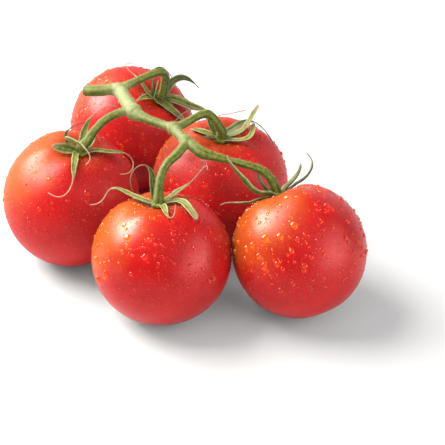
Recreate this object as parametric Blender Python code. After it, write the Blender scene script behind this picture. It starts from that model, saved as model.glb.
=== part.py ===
"""A truss of five tomatoes, still joined by their green vine, resting on a flat surface.

Run it with: blender --background --python part.py
Metres, +Z up. The origin is under the middle of the truss, on the surface that it rests on.
"""

import math
from collections import namedtuple

import bmesh
import bpy
import numpy as np
from mathutils import Matrix, Vector
from mathutils.bvhtree import BVHTree

MM = 0.001

# Clearances between neighbouring pieces
GAP = 0.35 * MM
SEPAL_CLEARANCE = 0.4 * MM
BENDING_ROUNDS = 8

# The fruit's shape: the polar angle is measured from the stem end, the azimuth round the stem axis
FRUIT_SIDES = 30
FRUIT_RINGS = 20
FOOT_DEPTH = 0.6 * MM
DIMPLE_DEPTH = 4.6 * MM
DIMPLE_SPREAD = 8.5 * MM
BLOSSOM_DEPTH = 0.8 * MM
BLOSSOM_SPREAD = 5 * MM
FULLNESS = 0.93
SHOULDER_WIDENING = 0.02
RIB_POLAR = math.radians(42)
RIB_SPREAD = math.radians(30)
RIM_RADIUS = 15 * MM
RIM_SPREAD = 8 * MM

Tomato = namedtuple("Tomato", "width height place lean lean_to ribs rib_depth rib_turn oval oval_turn")

# Sizes and places in millimetres, angles in degrees. The lean tips the stem end towards lean_to.
TOMATOES = {
    "front": Tomato(63.3, 59.9, (-8.7, -55.6), 12, 101, 5, 0.020, 30, 0.011, 21),
    "left": Tomato(65.1, 63.1, (-53.2, -9.4), 12, -16, 6, 0.022, 10, 0.014, 73),
    "right": Tomato(62.4, 60.6, (54.3, -51.5), 40, 125, 5, 0.030, 20, 0.011, -85),
    "back": Tomato(63.4, 58.9, (-26.9, 56.0), 36, -25, 5, 0.020, 0, 0.000, 0),
    "middle": Tomato(65.7, 61.1, (17.8, 5.4), 5, -77, 6, 0.022, 25, 0.000, 60),
}

# The calyx: a small cup in the fruit's dimple, and its sepals
CUP_LIFT = 0.9 * MM
CUP_HEIGHT = 1.7 * MM
CUP_TOP_RADIUS = 3.6 * MM
CUP_BOTTOM_RADIUS = 2.2 * MM
SEPAL_THICKNESS = 0.9 * MM
THREAD_WIDTH = 0.85 * MM
SEPAL_CUPPING = 0.10
SEPAL_STEP = 2.0 * MM
ROOT_RADIUS = 1.9 * MM
ROOT_LIFT = 1.6 * MM

Sepal = namedtuple("Sepal", "width blade twist route")

# Each sepal's greatest width in millimetres, the share of its length that is blade before it thins
# to a thread, its twist in degrees, and its route in millimetres from the bottom of the dimple, which
# begins inside the cup.
SEPALS = {
    "front": [
        Sepal(3.6, 0.68, 0, ((-6.5, 1, 2.5), (-12, 4.5, 3), (-15.5, 7, 3.5), (-19, 9, 4.5),
                             (-22, 9.5, 5), (-23.5, 9, 3.5), (-24.5, 7.5, 0.5), (-26.5, 6.5, -2.5),
                             (-29.5, 6, -3), (-31.5, 5.5, -2.5))),
        Sepal(3.2, 0.55, 0, ((-2, 4, 4), (-3, 8, 8.5), (-3, 10, 11), (-4.5, 11.5, 15),
                             (-7, 12, 16), (-10, 11.5, 14.5), (-12.5, 11, 11.5), (-13.5, 10, 8),
                             (-13, 9.5, 5), (-12, 9, 2.5))),
        Sepal(2.8, 0.60, 0, ((5.5, 4.5, 2.5), (9, 7.5, 4), (12.5, 10, 5), (15.5, 11.5, 7),
                             (18.5, 13.5, 10.5), (20.5, 14, 13), (21.5, 14.5, 14.5), (23, 14.5, 13.5),
                             (22.5, 13, 11.5), (21.5, 12.5, 11.5))),
        Sepal(4.0, 1.00, 0, ((5.5, 0, 3), (9.5, -2.5, 5.5), (12.5, -8, 7), (15, -11.5, 5.5),
                             (17.5, -14, 3))),
        Sepal(3.6, 0.72, 0, ((1.5, -4, 4), (2.5, -8.5, 6), (3.5, -12.5, 6), (4.5, -15.5, 5),
                             (6, -17.5, 4.5), (7.5, -16.5, 5.5), (8, -14.5, 7.5), (8, -13.5, 11))),
    ],
    "left": [
        Sepal(2.6, 0.60, 0, ((-2, -4, 3.5), (-1.5, -8, 3), (-2, -14, 2.5), (-1.5, -18, 1),
                             (-1.5, -21.5, -1), (-2.5, -24, -3), (-4.5, -27, -5),
                             (-7.5, -28.5, -6), (-10.5, -28, -5), (-13, -26.5, -4))),
        Sepal(4.4, 1.00, 0, ((-5, -3, 4.5), (-9, -5.5, 7), (-12, -6.5, 8.5))),
        Sepal(2.4, 0.80, 40, ((-4, 1, 5), (-6, 0, 7.5), (-7, -2.5, 10), (-4, -3.5, 10),
                              (1, -6.5, 9.5), (5, -11, 8.5), (7, -13.5, 6), (6, -14.5, 4.5),
                              (3.5, -14.5, 3))),
        Sepal(1.8, 0.60, 0, ((-6, 3, 5), (-8, 3.5, 7.5), (-7, 5, 8.5), (-5, 9, 8.5), (-1.5, 12, 9),
                             (3.5, 15, 8.5))),
        Sepal(2.8, 0.60, 0, ((0.5, 5, 2), (1.5, 10.5, 4.5), (3, 14, 9), (6.5, 17, 12),
                             (10, 17, 15.5), (13, 18, 16.5), (16.5, 18, 15), (17.5, 18, 14.5))),
        Sepal(2.2, 0.55, 0, ((2, -1.5, 2), (5.5, -1, 2.5), (8.5, -1, 3), (13, -1.5, 2),
                             (18, 1.5, 0), (21, 4.5, -2), (22.5, 5.5, -4), (24, 6, -6),
                             (25, 4.5, -7.5), (25, 1.5, -8.5), (23.5, -3, -8.5), (21.5, -6, -7.5),
                             (19, -9, -5.5))),
        Sepal(2.2, 1.00, 0, ((2, 0.5, 2), (4.5, 1, 3), (5.5, 4, 3.5), (7, 8.5, 4))),
    ],
    "right": [
        Sepal(3.4, 1.00, 0, ((-5, -3, 5), (-9, -6, 6.5), (-12.5, -4.5, 7.5), (-15, -3, 10),
                             (-17, -1.5, 12.5), (-19, -0.5, 14), (-20.5, 1, 16), (-22.5, 2, 18.5),
                             (-24, 4, 21.5))),
        Sepal(2.2, 1.00, 0, ((-4, 0.5, 4.5), (-7, 0.5, 5.5), (-8.5, 3.5, 6.5), (-9.5, 7, 8),
                             (-9.5, 11, 13.5))),
        Sepal(1.8, 0.80, 0, ((-4, -2, 3), (-7, -4, 3.5), (-10, -3.5, 2), (-13.5, 0, -2),
                             (-18, 2.5, -3.5), (-22.5, 3.5, -4), (-25.5, 3, -3.5), (-27, 2.5, -5))),
        Sepal(3.8, 1.00, 0, ((3, 5, 3), (7, 8.5, 4.5), (9, 9.5, 7.5), (10.5, 10.5, 10.5),
                             (10, 11.5, 12.5))),
        Sepal(1.8, 0.90, 0, ((5, 4.5, 2.5), (10, 7.5, 4), (13, 9.5, 6.5), (15, 9.5, 10),
                             (16, 11.5, 13), (15, 13, 15), (12.5, 14, 16.5))),
    ],
    "back": [
        Sepal(2.6, 1.00, 0, ((-0.5, -3, 3), (-1, -2.5, 5.5), (-0.5, -1, 8.5), (1, 0.5, 11.5))),
        Sepal(2.6, 0.90, 0, ((-2.5, -2, 5.5), (-1.5, 0, 11.5), (-2.5, 4, 14.5), (-0.5, 6, 16),
                             (1.5, 6.5, 16), (5, 6, 14), (7.5, 5, 10.5))),
        Sepal(3.2, 0.65, 0, ((-3, -3, 5), (-5, -5, 7), (-6, -4, 9.5), (-7.5, -3, 12),
                             (-10.5, 0.5, 14.5), (-13.5, 1, 16), (-15.5, 3.5, 17.5), (-15.5, 6.5, 18),
                             (-14.5, 8, 18), (-12, 4.5, 18))),
        Sepal(2.6, 1.00, 0, ((-3, -3.5, 4.5), (-6, -7.5, 6.5), (-8.5, -11, 7.5), (-10, -13, 7))),
        Sepal(2.4, 0.90, 0, ((4.5, 2, 3), (5.5, 3, 6), (7.5, 6.5, 7.5), (10, 8, 8.5), (13.5, 9, 8),
                             (16, 11, 5.5), (18.5, 12, 3), (21, 13.5, -1))),
        Sepal(4.8, 1.00, 0, ((4, -0.5, 1.5), (9, 0.5, 0), (16, 1.5, -4.5), (21, 4.5, -7.5),
                             (25, 7, -10))),
        Sepal(3.8, 1.00, 0, ((1.5, -3, 1.5), (5.5, -5, -1.5), (9, -6.5, -4), (12, -6.5, -6.5),
                             (15, -6.5, -9))),
    ],
    "middle": [
        Sepal(2.8, 1.00, 0, ((3.5, -3.5, 3), (6.5, -5.5, 3.5), (12.5, -5.5, 4), (14.5, -2, 4),
                             (15.5, 1, 5.5), (15.5, 4.5, 7))),
        Sepal(3.6, 1.00, 0, ((3.5, 0.5, 2.5), (8.5, -0.5, 4.5), (11.5, 1, 6), (13, 3.5, 7.5),
                             (15.5, 7.5, 10.5), (18, 9, 14.5))),
        Sepal(3.4, 0.60, 0, ((2.5, 3.5, 2), (6.5, 4.5, 4.5), (10, 6.5, 6), (13, 8.5, 6.5),
                             (17, 8, 5.5), (20, 7.5, 2.5), (23, 6.5, -1), (25, 4.5, -4))),
        Sepal(3.2, 1.00, 0, ((-3.5, 1, 2.5), (-6.5, 1, 3.5), (-10, 2.5, 4), (-12.5, 4, 4),
                             (-15, 5, 3.5))),
        Sepal(2.8, 0.60, 0, ((-2.5, 1.5, 2.5), (-3.5, 2, 3.5), (-5, 5, 5.5), (-5.5, 6.5, 7),
                             (-7, 9.5, 11), (-9.5, 11, 12), (-12, 10.5, 11.5), (-15.5, 10.5, 11),
                             (-18, 9.5, 9.5), (-21, 8, 7.5), (-22.5, 7.5, 5.5))),
        Sepal(1.6, 0.80, 0, ((-3, -0.5, 2.5), (-5.5, -4, 4.5), (-8.5, -5, 6), (-10.5, -5.5, 5.5),
                             (-12, -7, 5))),
        Sepal(1.6, 0.50, 0, ((-2.5, 5, 3), (-3, 9.5, 6), (-3, 10.5, 8), (1.5, 10, 8.5),
                             (5.5, 10, 9), (9, 11, 10), (12, 11.5, 10))),
    ],
}

# The vine: every stem's points in millimetres with its diameter there. A stalk's last point, where it
# meets its calyx, comes from the fruit, and the stalk flares to STALK_END_DIAMETER there.
STALK_END_DIAMETER = 4.9
STALK_END_LIFT = CUP_LIFT + CUP_HEIGHT + GAP
VINE_STEP = 2.2 * MM
VINE_RESOLUTION = 3

RACHIS = ((-47.5, 25.5, 70, 5.0), (-44, 24.5, 70.5, 5.4), (-38, 24, 71, 5.4), (-31, 24.5, 71, 6.2),
          (-27, 14.5, 71.5, 6.6), (-22.5, 2.5, 72, 6.4), (-17, -3, 72, 4.6), (-7.5, -9.5, 72, 4.2),
          (-3.5, -12.5, 72.5, 5.0), (-1, -18.5, 73, 4.8), (3, -25.5, 73, 5.0))
STALKS = {
    "front": ((3, -25.5, 73, 4.6), (-2, -36.5, 73, 4.0), (-5.5, -41, 72, 3.8), (-7.5, -43.5, 69.5, 3.8),
              (-9, -46.5, 66, 3.9), (-9.5, -48.5, 61.5, 4.2)),
    "left": ((-22.5, 2.5, 72, 5.2), (-27, 3, 72, 4.2), (-32, 0.5, 71.5, 3.8), (-37, -3, 70, 3.8),
             (-41, -7.5, 67.5, 4.0), (-44, -10.5, 64.3, 4.4)),
    "right": ((3, -25.5, 73, 5.0), (6, -28.5, 72.5, 5.2), (9.5, -31, 71, 5.4), (13, -31.5, 70, 4.6),
              (22, -33, 68, 3.4), (28, -34, 67, 3.4), (33, -34.5, 65.5, 3.6), (37.5, -35, 63.5, 3.8),
              (40.5, -35.5, 60.5, 4.0), (42.5, -36, 57, 4.4)),
    "back": ((-31, 24.5, 71, 5.4), (-25, 29, 72, 4.0), (-20, 32, 73, 3.8), (-15.5, 35, 73.5, 3.8),
             (-11.5, 38, 73, 4.0), (-9, 41, 69.5, 4.0), (-9.5, 44, 63, 4.0), (-10.5, 46, 57, 4.4)),
    "middle": ((-3.5, -12.5, 72.5, 4.8), (-0.5, -8.5, 71.5, 4.2), (3, -5, 71.5, 3.8), (6.5, -2, 72, 3.8),
               (10.5, 1, 72, 4.0), (13, 1.5, 71, 4.2), (15, 1, 69, 4.2), (17, 1, 65.5, 4.4),
               (18.5, 1.5, 62, 4.8)),
}
# Knots where stems part, as place and diameter in millimetres
KNOTS = ((-31, 24.5, 71, 7.4), (-22.5, 2.5, 72, 7.8), (-3.5, -12.5, 72.3, 6.4), (2.5, -25, 73, 6.6))


def clear_scene():
    """Removes the objects that Blender starts with."""
    for obj in list(bpy.data.objects):
        bpy.data.objects.remove(obj)


def new_collection(name):
    collection = bpy.data.collections.new(name)
    bpy.context.scene.collection.children.link(collection)
    return collection


def principled(name, colour, roughness):
    """A plain material in the colour that the finished piece has."""
    material = bpy.data.materials.new(name)
    material.use_nodes = True
    shader = material.node_tree.nodes["Principled BSDF"]
    shader.inputs["Base Color"].default_value = (*colour, 1.0)
    shader.inputs["Roughness"].default_value = roughness
    shader.inputs["Metallic"].default_value = 0.0
    return material


def bell(x, middle, spread):
    return np.exp(-(((x - middle) / spread) ** 2))


def skin(tomato, polar, azimuth):
    """A point of the skin in the fruit's own frame, with its stem end towards +Z."""
    radius = tomato.width / 2 * MM
    half_height = tomato.height / 2 * MM
    ribs = np.cos(tomato.ribs * (azimuth - math.radians(tomato.rib_turn)))
    oval = np.cos(2 * (azimuth - math.radians(tomato.oval_turn)))
    out = radius * np.sin(polar) ** FULLNESS * (1 + SHOULDER_WIDENING * np.cos(polar))
    out = out * (1 + tomato.oval * oval + tomato.rib_depth * ribs * bell(polar, RIB_POLAR, RIB_SPREAD))
    up = half_height * np.cos(polar)
    dimple = DIMPLE_DEPTH * bell(out, 0, DIMPLE_SPREAD)
    rim = tomato.rib_depth * radius * ribs * bell(out, RIM_RADIUS, RIM_SPREAD)
    blossom = BLOSSOM_DEPTH * bell(out, 0, BLOSSOM_SPREAD)
    up = up + np.where(np.cos(polar) > 0, rim - dimple, blossom)
    return Vector((float(out * np.cos(azimuth)), float(out * np.sin(azimuth)), float(up)))


def lean_matrix(tomato):
    """Turns the fruit's own frame so that its stem end leans over."""
    way = math.radians(tomato.lean_to)
    axis = Vector((-math.sin(way), math.cos(way), 0))
    return Matrix.Rotation(math.radians(tomato.lean), 3, axis)


def make_tomato(name, tomato, material, collection):
    """One fruit, cut flat where it rests, with its origin at its middle."""
    body = bmesh.new()
    bmesh.ops.create_uvsphere(body, u_segments=FRUIT_SIDES, v_segments=FRUIT_RINGS, radius=1)
    turn = lean_matrix(tomato)
    for vertex in body.verts:
        x, y, z = vertex.co
        polar = math.acos(max(-1.0, min(1.0, z)))
        vertex.co = turn @ skin(tomato, polar, math.atan2(y, x))
    foot = min(vertex.co.z for vertex in body.verts) + FOOT_DEPTH
    cut = bmesh.ops.bisect_plane(
        body,
        geom=[*body.verts, *body.edges, *body.faces],
        plane_co=(0, 0, foot),
        plane_no=(0, 0, -1),
        clear_outer=True,
    )
    rim = [item for item in cut["geom_cut"] if isinstance(item, bmesh.types.BMEdge)]
    bmesh.ops.contextual_create(body, geom=rim)
    bmesh.ops.recalc_face_normals(body, faces=body.faces)
    mesh = bpy.data.meshes.new(name)
    body.to_mesh(mesh)
    body.free()
    mesh.shade_smooth()
    mesh.materials.append(material)
    obj = bpy.data.objects.new(name, mesh)
    obj.location = (tomato.place[0] * MM, tomato.place[1] * MM, -foot)
    collection.objects.link(obj)
    return obj


def surface_tree(obj):
    """The object's surface where it stands, for measuring distances from it."""
    places = [obj.matrix_world @ vertex.co for vertex in obj.data.vertices]
    faces = [tuple(face.vertices) for face in obj.data.polygons]
    return BVHTree.FromPolygons(places, faces)


def smooth_route(points, step):
    """A smooth curve through the points, read off at about every step along it."""
    points = np.array(points, float)
    ends = np.vstack([2 * points[0] - points[1], points, 2 * points[-1] - points[-2]])
    lengths = np.linalg.norm(np.diff(points[:, :3], axis=0), axis=1)
    fine = []
    for i, length in enumerate(lengths):
        a, b, c, d = ends[i : i + 4]
        count = max(2, math.ceil(6 * length / step))
        t = np.linspace(0, 1, count, endpoint=False)[:, None]
        curve = b + 0.5 * t * (c - a + t * (2 * a - 5 * b + 4 * c - d + t * (3 * (b - c) + d - a)))
        fine.append(curve)
    fine = np.vstack([*fine, points[-1:]])
    along = np.concatenate([[0], np.cumsum(np.linalg.norm(np.diff(fine[:, :3], axis=0), axis=1))])
    wanted = np.linspace(0, along[-1], max(3, round(along[-1] / step) + 1))
    return np.stack([np.interp(wanted, along, column) for column in fine.T], axis=-1)


def tube(name, points, collection, end=None):
    """A stem as a closed mesh, from points in millimetres that end with the diameter there."""
    route = smooth_route(np.array(points, float) * MM, VINE_STEP)
    if end:
        route = np.vstack([route, np.array(end) * MM])
    curve = bpy.data.curves.new(name, "CURVE")
    curve.dimensions = "3D"
    curve.bevel_depth = 1.0
    curve.bevel_resolution = VINE_RESOLUTION
    curve.use_fill_caps = True
    spline = curve.splines.new("POLY")
    spline.points.add(len(route) - 1)
    for point, (x, y, z, diameter) in zip(spline.points, route):
        point.co = (x, y, z, 1)
        point.radius = diameter / 2
    guide = bpy.data.objects.new(name + "_guide", curve)
    collection.objects.link(guide)
    bpy.context.view_layer.update()
    mesh = bpy.data.meshes.new_from_object(guide.evaluated_get(bpy.context.evaluated_depsgraph_get()))
    bpy.data.objects.remove(guide)
    return welded_object(name, mesh, collection)


def knot(name, place, diameter, collection):
    """A rounded swelling where stems part."""
    body = bmesh.new()
    bmesh.ops.create_icosphere(body, subdivisions=2, radius=diameter / 2 * MM)
    bmesh.ops.translate(body, verts=body.verts, vec=Vector(place) * MM)
    mesh = bpy.data.meshes.new(name)
    body.to_mesh(mesh)
    body.free()
    return welded_object(name, mesh, collection)


def welded_object(name, mesh, collection):
    """An object of the mesh, with its doubled points joined and its faces turned outwards."""
    body = bmesh.new()
    body.from_mesh(mesh)
    bmesh.ops.remove_doubles(body, verts=body.verts, dist=0.01 * MM)
    bmesh.ops.recalc_face_normals(body, faces=body.faces)
    body.to_mesh(mesh)
    body.free()
    obj = bpy.data.objects.new(name, mesh)
    collection.objects.link(obj)
    return obj


def fuse(name, core, pieces, material, collection):
    """One solid from a core and the pieces that grow from it."""
    piece_collection = new_collection(name + "_pieces")
    for piece in pieces:
        collection.objects.unlink(piece)
        piece_collection.objects.link(piece)
    union = core.modifiers.new("union", "BOOLEAN")
    union.operation = "UNION"
    union.operand_type = "COLLECTION"
    union.collection = piece_collection
    union.solver = "MANIFOLD"
    bpy.context.view_layer.update()
    mesh = bpy.data.meshes.new_from_object(core.evaluated_get(bpy.context.evaluated_depsgraph_get()))
    for piece in [core, *pieces]:
        bpy.data.objects.remove(piece)
    bpy.data.collections.remove(piece_collection)
    mesh.materials.clear()
    mesh.materials.append(material)
    obj = bpy.data.objects.new(name, mesh)
    collection.objects.link(obj)
    return obj


def stem_end(tomato, obj):
    """The bottom of a fruit's dimple and the direction of its stem axis."""
    turn = lean_matrix(tomato)
    return obj.location + turn @ skin(tomato, 1e-4, 0.0), turn @ Vector((0, 0, 1))


def make_vine(ends, material, collection):
    """The main stem, its five stalks and the knots where they part, in one solid."""
    rachis = tube("rachis", RACHIS, collection)
    pieces = []
    for name, points in STALKS.items():
        base, axis = ends[name]
        last = (base + axis * STALK_END_LIFT) / MM
        near = (base + axis * (STALK_END_LIFT + 0.9 * MM)) / MM
        points = [*points, (*near, STALK_END_DIAMETER - 0.4)]
        pieces.append(tube("stalk_" + name, points, collection, (*last, STALK_END_DIAMETER)))
    for i, (x, y, z, diameter) in enumerate(KNOTS):
        pieces.append(knot(f"knot_{i}", (x, y, z), diameter, collection))
    return fuse("vine", rachis, pieces, material, collection)


def is_inside(tree, point):
    """Whether a line straight up from the point leaves the closed surface an odd number of times."""
    crossings = 0
    start = point
    while crossings < 20:
        place, _, _, _ = tree.ray_cast(start, Vector((0, 0, 1)))
        if place is None:
            break
        crossings += 1
        start = place + Vector((0, 0, 0.001 * MM))
    return crossings % 2 == 1


def room_needed(point, trees, room):
    """The shift that takes a point out to where every surface leaves it room."""
    shift = Vector((0, 0, 0))
    for tree in trees:
        place, _, _, distance = tree.find_nearest(point)
        inside = is_inside(tree, point)
        short = room + distance if inside else room - distance
        if short > shift.length:
            outward = place - point if inside else point - place
            shift = outward.normalized() * short
    return shift


def frames_along(route, first_normal):
    """The tangent, side and normal at each point, turning as little as they can."""
    frames = []
    normal = first_normal
    for i in range(len(route)):
        tangent = (route[min(i + 1, len(route) - 1)] - route[max(i - 1, 0)]).normalized()
        normal = (normal - tangent * normal.dot(tangent)).normalized()
        frames.append((tangent, tangent.cross(normal), normal))
    return frames


def sepal_width(sepal, share):
    """The width at a share of the length: narrow at the root, widest early, then down to a thread."""
    if share >= sepal.blade and sepal.blade < 1:
        return THREAD_WIDTH
    x = share / sepal.blade
    swell = 0.62 + 0.38 * math.sin(math.pi * min(1, x / 0.35) / 2)
    taper = 1 - max(0, (x - 0.35) / 0.65) ** 1.6
    return max(THREAD_WIDTH, sepal.width * MM * swell * taper)


def make_sepal(name, sepal, base, axis, trees, collection):
    """A cupped, keeled blade along its route, kept clear of the fruit and the vine."""
    outward = Vector(sepal.route[0])
    outward = (outward - axis * outward.dot(axis)).normalized()
    root = outward * ROOT_RADIUS + axis * ROOT_LIFT
    route = smooth_route([root, *(Vector(point) * MM for point in sepal.route)], SEPAL_STEP)
    route = [base + Vector(point) for point in route]
    count = len(route)
    widths = [sepal_width(sepal, i / (count - 1)) for i in range(count)]
    for bending_round in range(BENDING_ROUNDS):
        frames = frames_along(route, axis)
        edges = [[point + frame[1] * width * across for across in (-0.5, 0, 0.5)]
                 for point, frame, width in zip(route, frames, widths)]
        for i in range(1, count):
            tests = [*edges[i], *((a + b) / 2 for a, b in zip(edges[i - 1], edges[i]))]
            shifts = [room_needed(test, trees, SEPAL_CLEARANCE + SEPAL_THICKNESS / 2) for test in tests]
            route[i] = route[i] + max(shifts, key=lambda shift: shift.length)
        if bending_round < BENDING_ROUNDS - 2:
            eased = [(a + 4 * b + c) / 6 for a, b, c in zip(route, route[1:], route[2:])]
            route = [route[0], *eased, route[-1]]
    body = bmesh.new()
    rings = []
    for i, (point, (tangent, side, normal)) in enumerate(zip(route, frames_along(route, axis))):
        turn = Matrix.Rotation(math.radians(sepal.twist) * i / (count - 1), 3, tangent)
        side = turn @ side
        normal = turn @ normal
        half = widths[i] / 2
        thick = SEPAL_THICKNESS / 2 if widths[i] > 1.2 * MM else widths[i] / 2
        lift = SEPAL_CUPPING * max(0, widths[i] - THREAD_WIDTH)
        corners = (side * half + normal * lift, normal * thick, normal * lift - side * half, -normal * thick)
        rings.append([body.verts.new(point + corner - base) for corner in corners])
    for ring, following in zip(rings, rings[1:]):
        for i in range(4):
            j = (i + 1) % 4
            body.faces.new((ring[i], ring[j], following[j], following[i]))
    body.faces.new(rings[0][::-1])
    body.faces.new(rings[-1])
    mesh = bpy.data.meshes.new(name)
    body.to_mesh(mesh)
    body.free()
    return welded_object(name, mesh, collection)


def make_calyx(name, sepals, base, axis, trees, material, collection):
    """A small cup in the dimple with the sepals that grow from it, in one solid."""
    body = bmesh.new()
    bmesh.ops.create_cone(
        body, cap_ends=True, segments=16, radius1=CUP_BOTTOM_RADIUS, radius2=CUP_TOP_RADIUS, depth=CUP_HEIGHT
    )
    bmesh.ops.translate(body, verts=body.verts, vec=(0, 0, CUP_LIFT + CUP_HEIGHT / 2))
    upright = Vector((0, 0, 1)).rotation_difference(axis).to_matrix().to_4x4()
    bmesh.ops.transform(body, matrix=upright, verts=body.verts)
    mesh = bpy.data.meshes.new(name)
    body.to_mesh(mesh)
    body.free()
    cup = welded_object(name + "_cup", mesh, collection)
    pieces = [
        make_sepal(f"{name}_sepal_{i}", sepal, base, axis, trees, collection)
        for i, sepal in enumerate(sepals)
    ]
    calyx = fuse(name, cup, pieces, material, collection)
    calyx.location = base
    return calyx


def main():
    clear_scene()
    truss = new_collection("tomato_truss")
    red = principled("tomato_skin", (0.72, 0.03, 0.02), 0.25)
    stem_green = principled("vine_green", (0.25, 0.36, 0.07), 0.6)
    sepal_green = principled("sepal_green", (0.18, 0.30, 0.05), 0.6)
    ends = {}
    trees = []
    for name, tomato in TOMATOES.items():
        fruit = make_tomato("tomato_" + name, tomato, red, truss)
        ends[name] = stem_end(tomato, fruit)
        bpy.context.view_layer.update()
        trees.append(surface_tree(fruit))
    trees.append(surface_tree(make_vine(ends, stem_green, truss)))
    for name, sepals in SEPALS.items():
        base, axis = ends[name]
        make_calyx("calyx_" + name, sepals, base, axis, trees, sepal_green, truss)


main()
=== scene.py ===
# %% [markdown]
# # A truss of vine tomatoes
#
# Five ripe tomatoes hang together on one picked green stem and rest on a pale table. The solid
# model says where every fruit, stalk and calyx is, and how large it is. This lesson dresses it:
# waxy skins that turn orange at the shoulders, beads of water, a fused and ridged green vine with
# a coat of fine hairs, and thin sepals that curl and dry to threads.

# %% Load the frame
import math
from collections import namedtuple

import bmesh
import bpy
import numpy as np
from mathutils import Matrix, Vector, noise
from mathutils.bvhtree import BVHTree
from mathutils.kdtree import KDTree


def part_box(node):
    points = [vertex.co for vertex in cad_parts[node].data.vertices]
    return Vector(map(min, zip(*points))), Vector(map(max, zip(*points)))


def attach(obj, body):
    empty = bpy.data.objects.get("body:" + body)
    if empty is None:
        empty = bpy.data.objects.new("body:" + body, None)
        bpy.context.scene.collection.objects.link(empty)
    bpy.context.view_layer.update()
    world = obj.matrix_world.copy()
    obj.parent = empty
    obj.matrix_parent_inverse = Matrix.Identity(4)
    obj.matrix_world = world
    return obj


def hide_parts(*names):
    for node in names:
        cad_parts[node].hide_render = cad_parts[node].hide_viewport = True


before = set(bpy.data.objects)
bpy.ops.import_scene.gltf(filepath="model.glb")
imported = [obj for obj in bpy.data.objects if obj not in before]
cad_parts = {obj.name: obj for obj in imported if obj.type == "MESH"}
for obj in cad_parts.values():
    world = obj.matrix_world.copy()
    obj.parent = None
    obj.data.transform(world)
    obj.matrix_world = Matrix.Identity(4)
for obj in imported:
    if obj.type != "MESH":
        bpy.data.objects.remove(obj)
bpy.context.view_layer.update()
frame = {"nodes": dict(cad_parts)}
MM = 0.001

# %% [markdown]
# ## Helpers for node trees
#
# Trees for shapes and trees for colours are built the same way: add a node, set its options, and
# fill its inputs with a value or with another node's output. A few small helpers keep that short,
# so that a formula reads almost as it would on paper.


# %% Node helpers
def add(tree, kind, inputs=None, **options):
    """Adds a node. Options are its own settings, and inputs go by name or number."""
    made = tree.nodes.new(kind)
    for name, value in options.items():
        setattr(made, name, value)
    for key, value in (inputs or {}).items():
        if isinstance(value, bpy.types.NodeSocket):
            tree.links.new(value, made.inputs[key])
        else:
            made.inputs[key].default_value = value
    return made


def calc(tree, operation, *values):
    """One step of arithmetic on numbers or sockets."""
    return add(tree, "ShaderNodeMath", dict(enumerate(values)), operation=operation).outputs[0]


def calc_vector(tree, operation, *values):
    """One step of arithmetic on vectors, which gives all the node's outputs."""
    return add(tree, "ShaderNodeVectorMath", dict(enumerate(values)), operation=operation).outputs


def bell(tree, x, middle, spread):
    """A smooth bump that is 1 at the middle and fades within the spread."""
    share = calc(tree, "DIVIDE", calc(tree, "SUBTRACT", x, middle), spread)
    return calc(tree, "EXPONENT", calc(tree, "MULTIPLY", calc(tree, "MULTIPLY", share, share), -1.0))


def ramp(tree, value, low, high, least=0.0, most=1.0, smooth=True):
    """Takes low to high on to least to most, and holds the ends."""
    inputs = {"Value": value, "From Min": low, "From Max": high, "To Min": least, "To Max": most}
    kind = "SMOOTHSTEP" if smooth else "LINEAR"
    return add(tree, "ShaderNodeMapRange", inputs, interpolation_type=kind).outputs["Result"]


def cloud(tree, where, scale, detail):
    """Soft noise, from 0 to 1."""
    return add(tree, "ShaderNodeTexNoise", {"Vector": where, "Scale": scale, "Detail": detail}).outputs["Fac"]


def place_of(tree):
    """Where a point is on its own object, which stays put when the camera moves."""
    return add(tree, "ShaderNodeTexCoord").outputs["Object"]


def combine(tree, x, y, z):
    """A vector from three numbers or sockets."""
    return add(tree, "ShaderNodeCombineXYZ", {0: x, 1: y, 2: z}).outputs[0]


def above(tree, value, limit):
    """Whether a value is over a limit."""
    return add(tree, "FunctionNodeCompare", {0: value, 1: limit}, operation="GREATER_THAN").outputs[0]


def blend(tree, share, first, second):
    """A colour between two, each a value or a socket."""
    return add(tree, "ShaderNodeMix", {0: share, 6: first, 7: second}, data_type="RGBA").outputs[2]


def read_mark(tree, name):
    """A number that the mesh keeps at each point."""
    return add(tree, "ShaderNodeAttribute", attribute_name=name).outputs["Fac"]


# %% New trees and materials
def new_tree(name, kind, inputs, outputs):
    """A node group with named sockets. Each input is a name, a socket type and a first value."""
    tree = bpy.data.node_groups.new(name, kind)
    for socket_name, socket_type, value in inputs:
        socket = tree.interface.new_socket(
            socket_name, in_out="INPUT", socket_type="NodeSocket" + socket_type
        )
        if value is not None:
            socket.default_value = value
    for socket_name, socket_type in outputs:
        tree.interface.new_socket(socket_name, in_out="OUTPUT", socket_type="NodeSocket" + socket_type)
    return tree, tree.nodes.new("NodeGroupInput").outputs, tree.nodes.new("NodeGroupOutput").inputs


def new_material(name, roughness, specular):
    """A material with its shader, ready for its colour to be linked in."""
    material = bpy.data.materials.new(name)
    material.use_nodes = True
    shader = material.node_tree.nodes["Principled BSDF"]
    shader.inputs["Roughness"].default_value = roughness
    shader.inputs["Specular IOR Level"].default_value = specular
    return material, material.node_tree, shader


def group(tree, shared, **values):
    """Places a shared group in a material, with its inputs given as words joined by underscores."""
    inputs = {name.replace("_", " ").title(): value for name, value in values.items()}
    return add(tree, "ShaderNodeGroup", inputs, node_tree=shared).outputs


def show(name, data):
    """A new object at the origin of the scene."""
    made = bpy.data.objects.new(name, data)
    bpy.context.scene.collection.objects.link(made)
    return made


# %% [markdown]
# ## Camera
#
# A long lens looks down on the truss from 35 degrees above the table, straight along +Y. A camera
# that is only placed and turned keeps the same picture when it is later moved round the object.

# %% Camera
CAMERA_RISE = math.radians(35)
CAMERA_TARGET = Vector((19, -35.1, 35)) * MM
CAMERA_DISTANCE = 800 * MM

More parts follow.
